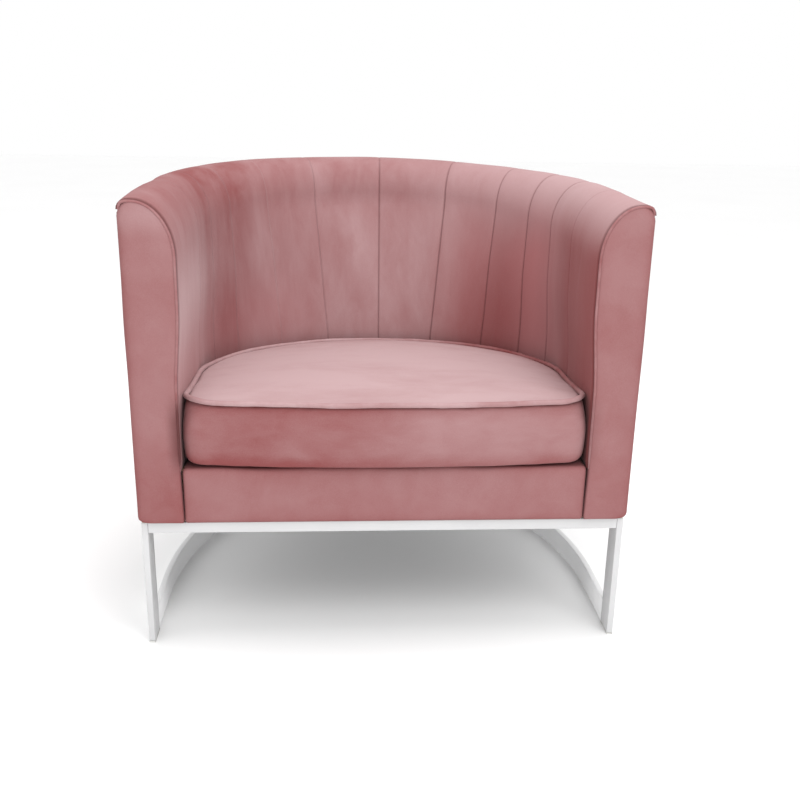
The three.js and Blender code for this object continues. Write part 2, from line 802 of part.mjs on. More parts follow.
// The corners, in plan, of the welded tab that a bolt passes through.
function tabShape({ x, y }) {
  const half = tabWidth / 2;
  if (y === frontBolt.y) {
    const sign = Math.sign(x);
    const inner = x - sign * tabMargin;
    const outer = sign * (basePlan.halfWidth - barThickness - gap);
    return shapeThrough([[inner, y - half], [outer, y - half], [outer, y + half], [inner, y + half]]);
  }
  const width = basePlan.halfWidth - barThickness;
  const depth = basePlan.reach - barThickness;
  const farX = Math.abs(x) + half;
  const back = basePlan.straightEnd + depth * Math.sqrt(1 - (farX / width) ** 2) - 1;
  const front = y - tabMargin;
  return shapeThrough([[x - half, front], [x + half, front], [x + half, back], [x - half, back]]);
}

function addFasteners() {
  const steel = makeMaterial(colours.steel, 0.4, 1);
  const tabBottom = frameTop - tabThickness;
  const headTop = tabBottom - gap;
  const headBottom = headTop - boltHeadHeight;
  for (const bolt of boltPlaces()) {
    const { name, x, y } = bolt;
    const tab = tabShape(bolt);
    const hole = new THREE.Path();
    hole.absarc(x, y, boltRadius + gap, 0, 2 * Math.PI, true);
    tab.holes.push(hole);
    addPiece(`mounting_tab_${name}`, raised(tab, tabBottom, frameTop), makeMaterial(colours.paint, 0.45));
    addPiece(`base_bolt_${name}`, turned([
      [0, headBottom + socketDepth],
      [socketRadius, headBottom + socketDepth],
      [socketRadius, headBottom],
      [boltHeadRadius, headBottom],
      [boltHeadRadius, headTop],
      [boltRadius, headTop],
      [boltRadius, boltEnd],
      [0, boltEnd],
    ], x, y), steel);
    const inner = boltRadius + gap;
    const top = bodyBottom + insertHeight;
    addPiece(`threaded_insert_${name}`, turned([
      [inner, bodyBottom],
      [insertRadius, bodyBottom],
      [insertRadius, top],
      [inner, top],
      [inner, bodyBottom],
    ], x, y), steel);
  }
}

addBase();
addFasteners();
addSeatFrame();
addWebbing();
addDeck();
addBoards();
addStuds();
addBackFoam();
addArmFronts();
addCovers();
addApron();
addCushion();

const chairBack = shellPlan.straightEnd + shellPlan.reach;
chair.position.y = -(cushionFront + chairBack) / 2;

export default chair;
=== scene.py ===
import json
import math

import bmesh
import bpy
import numpy as np
from mathutils import Matrix, Vector


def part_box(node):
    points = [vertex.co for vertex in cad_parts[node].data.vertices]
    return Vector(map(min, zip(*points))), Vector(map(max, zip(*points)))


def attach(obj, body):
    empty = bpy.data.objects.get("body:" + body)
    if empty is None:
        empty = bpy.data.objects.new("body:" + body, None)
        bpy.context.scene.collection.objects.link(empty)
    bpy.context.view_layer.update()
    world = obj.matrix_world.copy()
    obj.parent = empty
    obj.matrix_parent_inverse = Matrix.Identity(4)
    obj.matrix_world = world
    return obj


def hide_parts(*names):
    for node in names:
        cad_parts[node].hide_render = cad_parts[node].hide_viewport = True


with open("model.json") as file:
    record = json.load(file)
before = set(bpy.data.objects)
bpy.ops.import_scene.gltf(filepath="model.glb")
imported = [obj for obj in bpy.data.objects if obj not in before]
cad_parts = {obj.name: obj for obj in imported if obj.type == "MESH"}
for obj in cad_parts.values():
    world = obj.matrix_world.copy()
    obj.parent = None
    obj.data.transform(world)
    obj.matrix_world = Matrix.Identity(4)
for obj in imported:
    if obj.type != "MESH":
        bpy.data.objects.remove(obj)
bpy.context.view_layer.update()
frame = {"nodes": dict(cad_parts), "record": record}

MM = 0.001

# ---------- sizes: the box of each CAD node, and the shapes that it leaves open

facing_low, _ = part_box("arm_facing_left")
cover_low, cover_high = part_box("outer_cover")
inner_low, inner_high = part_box("inner_cover")
cushion_low, cushion_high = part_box("cushion_boxing")
_, welt_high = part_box("cushion_welt")
apron_low, apron_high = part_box("apron_cover")
floor_bar_low, floor_bar_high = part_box("floor_bar")
top_frame_low, top_frame_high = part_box("top_frame")

HALF_WIDTH = cover_high.x
FRONT = facing_low.y
BACK = cover_high.y
BODY_BOTTOM = cover_low.z
STRAIGHT = 290 * MM  # length of the straight arms
REACH = BACK - FRONT - STRAIGHT  # depth of the curved back
RIM_TOP = inner_high.z + 2 * MM
RIM_RISE = 23 * MM  # the rim is this much higher at the back
ARM_THICKNESS = 73 * MM
BACK_THICK_LOW = 160 * MM
BACK_THICK_HIGH = 80 * MM
LEAN_LOW = 390 * MM
LEAN_HIGH = 660 * MM
ARM_ROLL = (60 * MM, 83 * MM)  # width and height of the rolled top on the arms
BACK_ROLL = (45 * MM, 65 * MM)  # and in the middle of the back
CORNER = 15 * MM  # radius of the rim's outer corner
PIPING = 2.9 * MM  # radius of the welt round the rim
ARM_PIPING = 2.1 * MM  # radius of the piping on the arms' fronts
RIM_WELT_DROP = 18.6 * MM  # from the rim down to the middle of its welt
ARM_BULGE = 8 * MM  # the arms' padding swells above the cushion
BULGE_LOW = 425 * MM
BULGE_HIGH = 560 * MM

# Places along the U: 0 is the middle of the back, 1 the end of the curve, 2 an arm's front.
# The left arm's places are negative. The seams are uneven, as sewn, and so is how deep they lie.
SEAMS = [-1.15, -0.86, -0.70, -0.485, -0.258, 0.017, 0.296, 0.54, 0.73, 0.91, 1.37]
SEAM_DEPTHS = [0.35, 0.45, 0.35, 0.2, 0.55, 0.9, 1.0, 1.0, 1.0, 1.0, 0.3]
OUTSIDE_SEAMS = [-0.93, 0.93]

# The padded rim is not quite even: how far it lies above its plain curve, in mm, at places.
RIM_PLACES = [-2, -1.9, -1.75, -1.6, -1.45, -1.3, -1.15, -1.0, -0.9, -0.8, -0.7, -0.6, -0.45, 0,
              0.2, 0.4, 0.5, 0.6, 0.8, 0.9, 1.0, 1.15, 1.3, 1.45, 1.6, 1.75, 2]
RIM_SWELL = [0, 2.6, 4.8, 5.2, 3.2, 0.6, -1.6, -2.8, -3.4, -3.0, -1.6, 0, 0.8, 0,
             -1.5, -4.8, -6.0, -6.8, -7.2, -7.2, -6.0, -3.4, -1.2, 0.2, 0.8, 0.6, 0]
RIM_SMOOTHING = 31  # how many hundredths of a place the swell is smoothed over

CUSHION_HALF = cushion_high.x + 5.5 * MM
CUSHION_FRONT = cushion_low.y
CUSHION_BACK = cushion_high.y
CUSHION_BOTTOM = cushion_low.z
CUSHION_TOP_FRONT = welt_high.z + 9.5 * MM
CUSHION_TOP_BACK = welt_high.z - 17 * MM
CUSHION_CORNER = 56 * MM  # radius of the front corners, seen from above
CUSHION_BOW = 14 * MM  # how far the front edge bows forwards
CUSHION_WELT = 4.3 * MM  # radius of its welt
CUSHION_CURVE_START = 205 * MM  # behind the arms' front, where the back curve begins

BASE_HALF = floor_bar_high.x
BASE_STRAIGHT = 159 * MM
BASE_REACH = floor_bar_high.y - FRONT - BASE_STRAIGHT
BAR = 10 * MM  # the bar's thickness
EDGE = 1.2 * MM  # radius of the bar's edges

# ---------- meshes


def link(name, mesh):
    piece = bpy.data.objects.new(name, mesh)
    bpy.context.scene.collection.objects.link(piece)
    mesh.polygons.foreach_set("use_smooth", [True] * len(mesh.polygons))
    return piece


def mesh_piece(name, points, faces, closed=True):
    """A smooth piece from points and faces; a closed one gets its faces turned outwards."""
    mesh = bpy.data.meshes.new(name)
    mesh.from_pydata([tuple(p) for p in points], [], faces)
    if closed:
        work = bmesh.new()
        work.from_mesh(mesh)
        bmesh.ops.recalc_face_normals(work, faces=work.faces)
        caps = [face for face in work.faces if len(face.verts) > 4]
        bmesh.ops.triangulate(work, faces=caps)
        work.to_mesh(mesh)
        work.free()
    mesh.update()
    return link(name, mesh)


def grid_faces(rows, columns, wrap_rows=False, wrap_columns=False):
    """Quads of a grid whose points run along its columns first."""
    faces = []
    for i in range(rows if wrap_rows else rows - 1):
        for j in range(columns if wrap_columns else columns - 1):
            across = (j + 1) % columns
            down = (i + 1) % rows
            faces.append((i * columns + j, i * columns + across,
                          down * columns + across, down * columns + j))
    return faces


def ring_piece(name, rings, loop=False):
    """A closed piece through rings, capped at both ends unless the rings form a loop."""
    rows, columns = len(rings), len(rings[0])
    faces = grid_faces(rows, columns, wrap_rows=loop, wrap_columns=True)
    if not loop:
        faces.append(tuple(range(columns)))
        faces.append(tuple(range((rows - 1) * columns, rows * columns)))
    return mesh_piece(name, np.concatenate(rings), faces)


def points_of(mesh):
    points = np.empty(len(mesh.vertices) * 3)
    mesh.vertices.foreach_get("co", points)
    return points.reshape(-1, 3)


def stored(piece, name):
    values = np.empty(len(piece.data.vertices))
    piece.data.attributes[name].data.foreach_get("value", values)
    return values


def store(piece, name, values):
    """A number at each vertex, which a material can read."""
    attribute = piece.data.attributes.get(name) or piece.data.attributes.new(name, "FLOAT", "POINT")
    attribute.data.foreach_set("value", np.asarray(values, np.float32))


def ripple(points, wavelength, seed, stretch=(1.0, 1.0, 1.0), waves=14):
    """Smooth seeded unevenness between about -1 and 1, from waves in random directions."""
    random = np.random.default_rng(seed)
    scaled = points * np.array(stretch)
    total = np.zeros(scaled.shape[:-1])
    for _ in range(waves):
        direction = random.normal(size=3)
        direction /= np.linalg.norm(direction)
        length = wavelength * random.uniform(0.6, 1.6)
        shift = random.uniform(0, 2 * math.pi)
        total += np.sin(scaled @ direction * (2 * math.pi / length) + shift)
    return total / math.sqrt(waves) / 1.4


def ramp(low, high, value):
    """Rises smoothly from 0 at low to 1 at high, or falls where low is the greater."""
    t = np.clip((value - low) / (high - low), 0, 1)
    return t * t * (3 - 2 * t)


def unit(vectors):
    return vectors / np.linalg.norm(vectors, axis=1, keepdims=True)


def lengths_along(line):
    steps = np.linalg.norm(np.diff(line, axis=0), axis=1)
    return np.concatenate([[0], np.cumsum(steps)])


def bell(distance, width):
    """1 at no distance, falling smoothly to nearly 0 at twice the width."""
    return np.exp(-(distance / width) ** 2)


def tube_rings(centres, side_a, side_b, radius, sides=12):
    """Rings of a round cord: centres and the two directions across it at each."""
    turn = np.linspace(0, 2 * math.pi, sides, endpoint=False)
    radius = np.broadcast_to(radius, (len(centres),))
    return [c + r * (np.outer(np.cos(turn), a) + np.outer(np.sin(turn), b))
            for c, a, b, r in zip(centres, side_a, side_b, radius)]


# ---------- the tub's plan and section


def smoothed_swell(marks):
    """The rim's swell at evenly spaced places, with the corners of its list smoothed away."""
    swell = np.interp(marks, RIM_PLACES, RIM_SWELL) * MM
    weights = np.hanning(RIM_SMOOTHING)
    padded = np.pad(swell, RIM_SMOOTHING // 2, mode="edge")
    return np.convolve(padded, weights / weights.sum(), mode="valid")


swell_marks = np.linspace(-2, 2, 401)
swell_heights = smoothed_swell(swell_marks)


def plan(place, inset, half=HALF_WIDTH, straight=STRAIGHT, reach=REACH):
    """X and Y of places on a U, a distance in from its outside: the tub's, unless told."""
    place, inset = np.broadcast_arrays(place, inset)
    angle = np.clip(place, -1, 1) * math.pi / 2
    forward = np.maximum(np.abs(place) - 1, 0) * straight
    x = (half - inset) * np.sin(angle)
    y = FRONT + straight + (reach - inset) * np.cos(angle) - forward
    return np.stack([x, y], -1)


def rim_height(place):
    """The top of the rolled rim, lower at the arms' fronts."""
    fall = 1 - np.cos(place * math.pi / 4) ** 2
    return RIM_TOP - RIM_RISE * fall + np.interp(place, swell_marks, swell_heights)


def backness(place):
    """1 in the middle of the back, 0 from where the arms begin."""
    return np.where(np.abs(place) < 1, np.cos(place * math.pi / 2) ** 2, 0)


def thickness(place, height):
    """How thick the padded wall is at places and heights."""
    lean = np.clip((height - LEAN_LOW) / (LEAN_HIGH - LEAN_LOW), 0, 1)
    back = BACK_THICK_LOW + (BACK_THICK_HIGH - BACK_THICK_LOW) * lean
    arm = ARM_THICKNESS + ARM_BULGE * ramp(BULGE_LOW, BULGE_HIGH, height)
    return arm + (back - arm) * backness(place)


def roll_outline(place, bottom, moved=0.0, wall_rows=26, roll_rows=14, corner_rows=6):
    """Inset and height pairs up the inside of the wall and over its rolled top, moved in."""
    rim = rim_height(place)
    share = backness(place)
    width, tall = (arm + (back - arm) * share for arm, back in zip(ARM_ROLL, BACK_ROLL))
    start = rim - tall
    heights = np.linspace(bottom, start, wall_rows, endpoint=False)
    wall = np.stack([thickness(place, heights) - moved, heights], -1)
    top = thickness(place, start)
    turn = np.linspace(0, math.pi / 2, roll_rows)
    roll = np.stack([top - width + (width - moved) * np.cos(turn),
                     start + (tall - moved) * np.sin(turn)], -1)
    turn = np.linspace(0, math.pi / 2, corner_rows)
    corner = np.stack([CORNER - (CORNER - moved) * np.sin(turn),
                       rim - CORNER + (CORNER - moved) * np.cos(turn)], -1)
    return np.concatenate([wall, roll, corner])


def placed(place, loop):
    """Points of a loop of inset and height pairs, at a place on the tub's U."""
    return np.column_stack([plan(place, loop[:, 0]), loop[:, 1]])


def outline_normals(outline):
    """Unit normals of an open outline, turned out of the padding."""
    along = unit(np.gradient(outline, axis=0))
    return np.stack([along[:, 1], -along[:, 0]], -1)


dense_places = np.linspace(-2, 2, 1601)
dense_lengths = lengths_along(plan(dense_places, ARM_THICKNESS))


def length_at(place):
    """How far along the tub's inside a place is."""
    return np.interp(place, dense_places, dense_lengths)


def place_at(length):
    return np.interp(length, dense_lengths, dense_places)


def place_behind(depth):
    """The place on an arm that is a distance behind its front."""
    return 2 - depth / STRAIGHT


def seam_gaps(places, seams):
    """The distance along the tub from each place to each seam."""
    return np.abs(length_at(places)[:, None] - length_at(seams)[None, :])


def seam_distance(places, seams):
    return np.min(seam_gaps(places, seams), axis=1)


def seam_depth(places):
    """How deeply the nearest seam of the inside back is drawn in, from 0 to 1."""
    return np.array(SEAM_DEPTHS)[np.argmin(seam_gaps(places, SEAMS), axis=1)]


def places_with_seams(seams, first, last, spacing):
    """Places from first to last, close together near each seam."""
    near = np.array([0, 0.8, 1.7, 2.8, 4.2, 6.5, 10, 15]) * MM
    clear = near[-1] + 2 * MM
    sewn = length_at(seams)
    low, high = length_at(first), length_at(last)
    fill = np.linspace(low, high, int((high - low) / spacing))
    fill = [length for length in fill if np.min(np.abs(sewn - length)) > clear]
    marks = [seam + sign * step for seam in sewn for step in near for sign in (-1, 1)]
    inside = [length for length in fill + marks if low < length < high]
    return place_at(np.unique(np.round(inside + [low, high], 6)))


# ---------- materials


class Nodes:
    """Adds nodes to a new material and joins them."""

    def __init__(self, name):
        self.material = bpy.data.materials.new(name)
        self.material.use_nodes = True
        self.tree = self.material.node_tree
        self.shader = self.tree.nodes["Principled BSDF"]
        self.place = self.add("ShaderNodeTexCoord").outputs["Object"]

    def add(self, kind, **settings):
        node = self.tree.nodes.new(kind)
        for key, value in settings.items():
            setattr(node, key, value)
        return node

    def join(self, output, socket):
        self.tree.links.new(output, socket)

    def scaled(self, scale):
        mapping = self.add("ShaderNodeMapping")
        mapping.inputs["Scale"].default_value = scale
        self.join(self.place, mapping.inputs["Vector"])
        return mapping.outputs["Vector"]

    def noise(self, scale, detail=3.0, roughness=0.55, distortion=0.0, vector=None):
        node = self.add("ShaderNodeTexNoise")
        numbers = {"Scale": scale, "Detail": detail, "Roughness": roughness, "Distortion": distortion}
        for socket, number in numbers.items():
            node.inputs[socket].default_value = number
        self.join(vector or self.place, node.inputs["Vector"])
        return node.outputs["Fac"]

    def attribute(self, name):
        return self.add("ShaderNodeAttribute", attribute_name=name).outputs["Fac"]

    def remap(self, value, low, high, to_low=0.0, to_high=1.0):
        """The value moved from one range to another, and clamped to it."""
        node = self.add("ShaderNodeMapRange")
        for socket, number in zip(("From Min", "From Max", "To Min", "To Max"),
                                  (low, high, to_low, to_high)):
            node.inputs[socket].default_value = number
        self.join(value, node.inputs["Value"])
        return node.outputs["Result"]

    def math(self, operation, a, b):
        node = self.add("ShaderNodeMath", operation=operation)
        for socket, value in zip(node.inputs, (a, b)):
            if isinstance(value, (int, float)):
                socket.default_value = value
            else:
                self.join(value, socket)
        return node.outputs["Value"]

    def mix(self, factor, a, b):
        node = self.add("ShaderNodeMix", data_type="RGBA")
        for socket, value in ((node.inputs[0], factor), (node.inputs[6], a), (node.inputs[7], b)):
            if isinstance(value, (int, float)):
                socket.default_value = value
            elif isinstance(value, tuple):
                socket.default_value = (*value, 1.0)
            else:
                self.join(value, socket)
        return node.outputs[2]

    def bump(self, height, distance, strength=1.0, below=None):
        node = self.add("ShaderNodeBump")
        node.inputs["Distance"].default_value = distance
        node.inputs["Strength"].default_value = strength
        self.join(height, node.inputs["Height"])
        if below is not None:
            self.join(below, node.inputs["Normal"])
        return node.outputs["Normal"]

    def set(self, name, value):
        self.shader.inputs[name].default_value = value

    def finish(self, colour, roughness, normal):
        self.join(colour, self.shader.inputs["Base Color"])
        self.join(roughness, self.shader.inputs["Roughness"])
        self.join(normal, self.shader.inputs["Normal"])
        return self.material

    def mottled(self, field, span, dark, light, rough, depth, strength=1.0):
        """Finishes a material whose colour, roughness and relief all follow one field."""
        colour = self.mix(self.remap(field, *span), dark, light)
        roughness = self.remap(field, 0.3, 0.7, *rough)
        return self.finish(colour, roughness, self.bump(field, depth, strength))


# Velvet colours: dark rose, a pale end that is the rose with painted sheen on it, a warmer red, and the
# painted shade of seams and gaps.
NAP_DARK = (0.222, 0.061, 0.061)
VELVET_PAINTED_SHEEN = (0.460, 0.316, 0.322)
NAP_WARM = (0.500, 0.170, 0.175)
SEAM_SHADE = (0.075, 0.020, 0.020)


def velvet(name, nap_scale=(1.0, 1.0, 0.45), streak_scale=(1.0, 1.0, 0.1), contrast=1.0):
    """Short-pile velvet, dark or light as its pile lies and with painted light and sheen, in patches,
    strokes and fine tufts.

    The attributes nap_and_painted_light, brush, warm and painted_shade say how pale, uneven, warm and
    shaded it is; the paleness holds painted light and sheen, and the shade is painted shade.
    """
    n = Nodes(name)
    brushed = n.scaled(nap_scale)
    patches = n.noise(5.5, detail=4.0, roughness=0.55, distortion=0.7, vector=brushed)
    strokes = n.noise(24.0, detail=3.0, roughness=0.5, distortion=0.9, vector=brushed)
    pile = n.noise(900.0, detail=2.0, roughness=0.6)
    along = n.scaled(streak_scale)
    streaks = n.noise(15.0, detail=6.0, roughness=0.7, distortion=0.3, vector=along)
    broad, fine = 0.16 * contrast, 0.06 * contrast
    uneven = n.math("ADD", n.remap(patches, 0.3, 0.7, -broad, broad),
                    n.remap(strokes, 0.3, 0.7, -fine, fine))
    uneven = n.math("ADD", uneven, n.remap(streaks, 0.38, 0.62, -fine, fine))
    # The level mixes the pile's tone with painted light; its pale end is painted sheen.
    level = n.math("ADD", n.attribute("nap_and_painted_light"), n.math("MULTIPLY", uneven, n.attribute("brush")))
    level = n.math("ADD", level, n.remap(pile, 0.3, 0.7, -0.05, 0.05))
    colour = n.mix(n.remap(level, 0.0, 1.0), NAP_DARK, VELVET_PAINTED_SHEEN)
    colour = n.mix(n.attribute("warm"), colour, NAP_WARM)
    # Painted shade in seams, gaps and beside the cushion.
    colour = n.mix(n.attribute("painted_shade"), colour, SEAM_SHADE)
    rough = n.remap(patches, 0.3, 0.7, 0.80, 0.92)
    normal = n.bump(strokes, 1.2 * MM, strength=0.45)
    normal = n.bump(pile, 0.25 * MM, strength=0.6, below=normal)
    n.set("Sheen Weight", 0.08)
    n.set("Sheen Roughness", 0.35)
    n.set("Sheen Tint", (0.95, 0.78, 0.78, 1.0))
    n.set("Specular IOR Level", 0.2)
    return n.finish(colour, rough, normal)


def powder_coat(name, white):
    """Satin white powder coat on steel, with a faint orange-peel surface."""
    n = Nodes(name)
    cloud = n.noise(9.0, detail=3.0)
    peel = n.noise(650.0, detail=2.0)
    dark, pale = ((level, level, level + 0.005) for level in (white, white + 0.04))
    colour = n.mix(n.remap(cloud, 0.35, 0.65), dark, pale)
    rough = n.remap(cloud, 0.3, 0.7, 0.32, 0.42)
    n.set("Coat Weight", 0.15)
    n.set("Coat Roughness", 0.3)
    return n.finish(colour, rough, n.bump(peel, 0.08 * MM, strength=0.5))


def woven(name, dark, light, thread):
    """Plain cloth: two sets of threads, a thread apart in metres."""
    n = Nodes(name)
    split = n.add("ShaderNodeSeparateXYZ")
    n.join(n.place, split.inputs["Vector"])
    rate = 2 * math.pi / thread
    warp = n.math("SINE", n.math("MULTIPLY", split.outputs["X"], rate), 0.0)
    weft = n.math("SINE", n.math("MULTIPLY", split.outputs["Y"], rate), 0.0)
    weave = n.remap(n.math("MULTIPLY", warp, weft), -1.0, 1.0)
    fade = n.noise(14.0, detail=4.0)
    colour = n.mix(n.math("MULTIPLY", weave, fade), dark, light)
    n.set("Sheen Weight", 0.15)
    rough = n.remap(fade, 0.3, 0.7, 0.85, 0.97)
    return n.finish(colour, rough, n.bump(weave, 0.15 * MM, strength=0.8))


def plywood():
    """Pale timber with stretched grain."""
    n = Nodes("pale_timber")
    along = n.scaled((0.12, 0.12, 1.0))
    grain = n.noise(38.0, detail=6.0, roughness=0.6, distortion=0.4, vector=along)
    pale, brown = (0.62, 0.43, 0.24), (0.43, 0.26, 0.12)
    return n.mottled(grain, (0.35, 0.68), pale, brown, (0.6, 0.8), 0.3 * MM, 0.5)


def foam():
    """Cut polyurethane foam with small open cells."""
    n = Nodes("cut_foam")
    cells = n.noise(420.0, detail=2.0)
    cloud = n.noise(12.0)
    colour = n.mix(n.remap(cells, 0.35, 0.6), (0.46, 0.38, 0.2), (0.78, 0.7, 0.46))
    rough = n.remap(cloud, 0.3, 0.7, 0.88, 0.98)
    return n.finish(colour, rough, n.bump(cells, 0.5 * MM))


def zinc_plate():
    """Zinc-plated steel with a faint mottle."""
    n = Nodes("zinc_plate")
    mottle = n.noise(160.0, detail=4.0)
    dull, bright = (0.42, 0.43, 0.45), (0.62, 0.63, 0.64)
    n.set("Metallic", 1.0)
    return n.mottled(mottle, (0.35, 0.65), dull, bright, (0.28, 0.5), 0.05 * MM, 0.4)


def glide_plastic():
    """Pale matt nylon, scuffed by the floor."""
    n = Nodes("glide_nylon")
    scuff = n.noise(90.0, detail=5.0, roughness=0.7)
    clean, dirty = (0.62, 0.62, 0.6), (0.45, 0.44, 0.42)
    return n.mottled(scuff, (0.4, 0.7), clean, dirty, (0.5, 0.75), 0.1 * MM, 0.4)


VELVET = velvet("rose_velvet")
VELVET_PLAIN = velvet("rose_velvet_panel", (0.7, 1.0, 0.7), (0.6, 1.0, 0.4), contrast=0.55)
VELVET_SEAT = velvet("rose_velvet_seat", (0.6, 1.0, 1.0), (0.25, 1.0, 1.0), contrast=0.75)
VELVET_WELT = velvet("rose_velvet_welt", (2.0, 2.0, 2.0), (1.0, 1.0, 1.0))
VELVETS = (VELVET, VELVET_PLAIN, VELVET_SEAT, VELVET_WELT)
# The white paint comes in two copies: a darker one for the straight bars, whose fronts are lit, and a
# paler one for the bent bars, which stand in the shade under the seat: painted light.
PAINT = powder_coat("white_powder_coat", 0.53)
HOOP_PAINT_LIT_COPY = powder_coat("white_powder_coat_lit_copy", 0.78)
TIMBER = plywood()
FOAM = foam()
ZINC = zinc_plate()
NYLON = glide_plastic()
WEBBING = woven("elastic_webbing", (0.02, 0.02, 0.02), (0.11, 0.11, 0.11), 2.4 * MM)
LINING = woven("black_lining", (0.006, 0.006, 0.007), (0.03, 0.03, 0.032), 1.2 * MM)
DECK_CLOTH = woven("deck_cloth", (0.10, 0.055, 0.055), (0.24, 0.14, 0.14), 1.6 * MM)


def dress(piece, material, slot, *nodes, body="chair", nap_and_painted_light=0.45):
    """Gives a new piece its material and the body it rides on, and hides the CAD nodes that it stands
    for; its slot is not used.
    """
    # Velvet gets an even level of pile tone and painted light, and full unevenness.
    if material in VELVETS:
        for name, value in (("nap_and_painted_light", nap_and_painted_light), ("brush", 1.0)):
            if name not in piece.data.attributes:
                store(piece, name, np.full(len(piece.data.vertices), value))
    piece.data.materials.append(material)
    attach(piece, body)
    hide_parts(*nodes)
    return piece


def dress_nodes():
    """Better materials for the CAD nodes that stay."""
    by_slot = {"timber": TIMBER, "webbing": WEBBING, "lining": LINING, "foam": FOAM,
               "painted_steel": PAINT, "zinc": ZINC, "glide": NYLON}
    slots = {part["node"]: part["material_slot"] for part in frame["record"]["subparts"]}
    for name, node in frame["nodes"].items():
        material = by_slot.get(slots[name])
        if material:
            node.data.materials.clear()
            node.data.materials.append(material)


# ---------- the tub's upholstery


# How pale the velvet is at places along the tub's inside, on its wall and over its rim: the pile's tone
# mixed with painted light and shade.
NAP_PLACES = [-2, -1.3, -1.0, -0.9, -0.8, -0.7, -0.62, -0.52, -0.45, -0.3, -0.24, 0,
              0.25, 0.35, 0.45, 0.62, 0.8, 1.0, 1.3, 2]
WALL_NAP_AND_PAINTED_LIGHT = [0.92, 0.97, 0.80, 0.48, 0.34, 0.38, 0.48, 0.56, 0.48, 0.42, 0.48, 0.49,
            0.48, 0.44, 0.28, 0.20, 0.38, 0.38, 0.10, -0.05]
RIM_NAP_AND_PAINTED_LIGHT = [0.22, 0.20, 0.16, 0.14, 0.15, 0.19, 0.24, 0.30, 0.34, 0.38, 0.40, 0.40,
           0.44, 0.52, 0.60, 0.72, 0.80, 0.80, 0.72, 0.66]


def stitch_width(place):
    """How wide a seam's painted shade and painted highlight are: wider on the arms, which are seen at a
    slant.
    """
    return (1.2 + 1.3 * ramp(0.5, 0.9, abs(place))) * MM


def inside_relief(place, outline, gap, depth, fade):
    """How far the padding lies above its plain outline: sewn creases and slight unevenness."""
    rows = np.linspace(0, 1, len(outline))
    groove = 1.9 * MM * bell(gap, 1.5 * MM) + 1.5 * MM * math.exp(-gap / (12 * MM))
    groove *= 0.3 + 0.7 * depth
    uneven = 0.9 * MM * ripple(placed(place, outline), 0.11, 3, stretch=(1.0, 1.0, 0.4))
    from_front = (2 - abs(place)) * STRAIGHT if abs(place) > 1 else STRAIGHT
    return uneven * ramp(0, 12 * MM, from_front) * (1 - rows ** 8) - groove * fade


def inside_painted_shade(place, heights, gap, depth, fade, front):
    """The shade in the seams, at the arm's piping and beside the front of the cushion."""
    painted_shade = depth * bell(gap, stitch_width(place)) * (0.18 + 0.36 * fade)
    middle = length_at(0)
    to_piping = length_at(front) - abs(length_at(place) - middle) - middle
    painted_shade += 0.55 * math.exp(-to_piping / (2 * MM))
    beside = ramp(436 * MM, 385 * MM, heights) * ramp(1.3, 1.7, abs(place))
    return np.maximum(painted_shade, 0.5 * beside)


def inside_nap_and_painted_light(place, heights, gap, depth):
    """How pale the velvet is up the wall and over the rim at a place, from its pile's tone and painted
    light, with a painted highlight along the left's seams and darker towards the bottom, and how warm
    it looks.
    """
    fade_from = np.interp(place, [0.6, 1.1], [-190 * MM, -95 * MM])
    over = ramp(fade_from, -8 * MM, heights - rim_height(place))
    low = ramp(580 * MM, 430 * MM, heights)
    nap_and_painted_light = np.interp(place, NAP_PLACES, WALL_NAP_AND_PAINTED_LIGHT) * (1 - over)
    nap_and_painted_light += np.interp(place, NAP_PLACES, RIM_NAP_AND_PAINTED_LIGHT) * over
    if place < 0:
        # A painted highlight along the left's seams, and darker towards the bottom on the left arm.
        nap_and_painted_light += 0.22 * (1 - depth) * bell(gap, stitch_width(place))
        nap_and_painted_light -= 0.3 * ramp(520 * MM, 380 * MM, heights) * ramp(0.8, 1.2, -place)
    nap_and_painted_light -= 0.12 * low * np.interp(place, [0.1, 0.3, 0.7, 0.9], [0, 1, 1, 0])
    on_wall = np.interp(place, [0.25, 0.45, 0.6, 0.8, 1.0, 1.2], [0, 0.14, 0.14, 0.4, 0.22, 0.05])
    warm = low * np.interp(place, [-0.5, -0.2], [0.22, 0]) + (1 - over) * on_wall
    return nap_and_painted_light, warm


def inside_back():
    """The padded inside of the tub: panels between sewn creases, rolled over the rim."""
    front = place_behind(6.5 * MM)
    places = places_with_seams(SEAMS, -front, front, 11 * MM)
    bottom = inner_low.z
    tucked, under_roll, board = 7 * MM, 9 * MM, 34 * MM
    rings = []
    stores = {"painted_shade": [], "nap_and_painted_light": [], "warm": [], "brush": []}
    for place, gap, depth in zip(places, seam_distance(places, SEAMS), seam_depth(places)):
        outline = roll_outline(place, bottom)
        fade = 1 - 0.8 * ramp(0.62, 0.95, np.linspace(0, 1, len(outline)))
        lift = inside_relief(place, outline, gap, depth, fade)
        outline = outline + outline_normals(outline) * lift[:, None]
        end = outline[-1, 1]
        back = [[tucked, end], [tucked, end - under_roll], [board, end - under_roll], [board, bottom]]
        loop = np.concatenate([outline, back])
        rings.append(placed(place, loop))
        # Painted shade in the seams, at the piping and beside the cushion; the pile's tone with painted
        # light and highlights.
        painted_shade = inside_painted_shade(place, outline[:, 1], gap, depth, fade, front)
        nap_and_painted_light, warm = inside_nap_and_painted_light(place, outline[:, 1], gap, depth)
        for name, values in (("painted_shade", painted_shade), ("nap_and_painted_light", nap_and_painted_light), ("warm", warm)):
            stores[name].append(np.concatenate([values, np.zeros(len(back))]))
        brush = np.interp(place, [-1.2, -0.9, -0.2, 0.3, 0.6], [0.6, 1.0, 1.0, 0.7, 0.3])
        stores["brush"].append(np.full(len(loop), brush))
    piece = ring_piece("inside_back", rings)
    for name, values in stores.items():
        store(piece, name, np.concatenate(values))
    return dress(piece, VELVET, "velvet", "inner_cover", "back_foam")


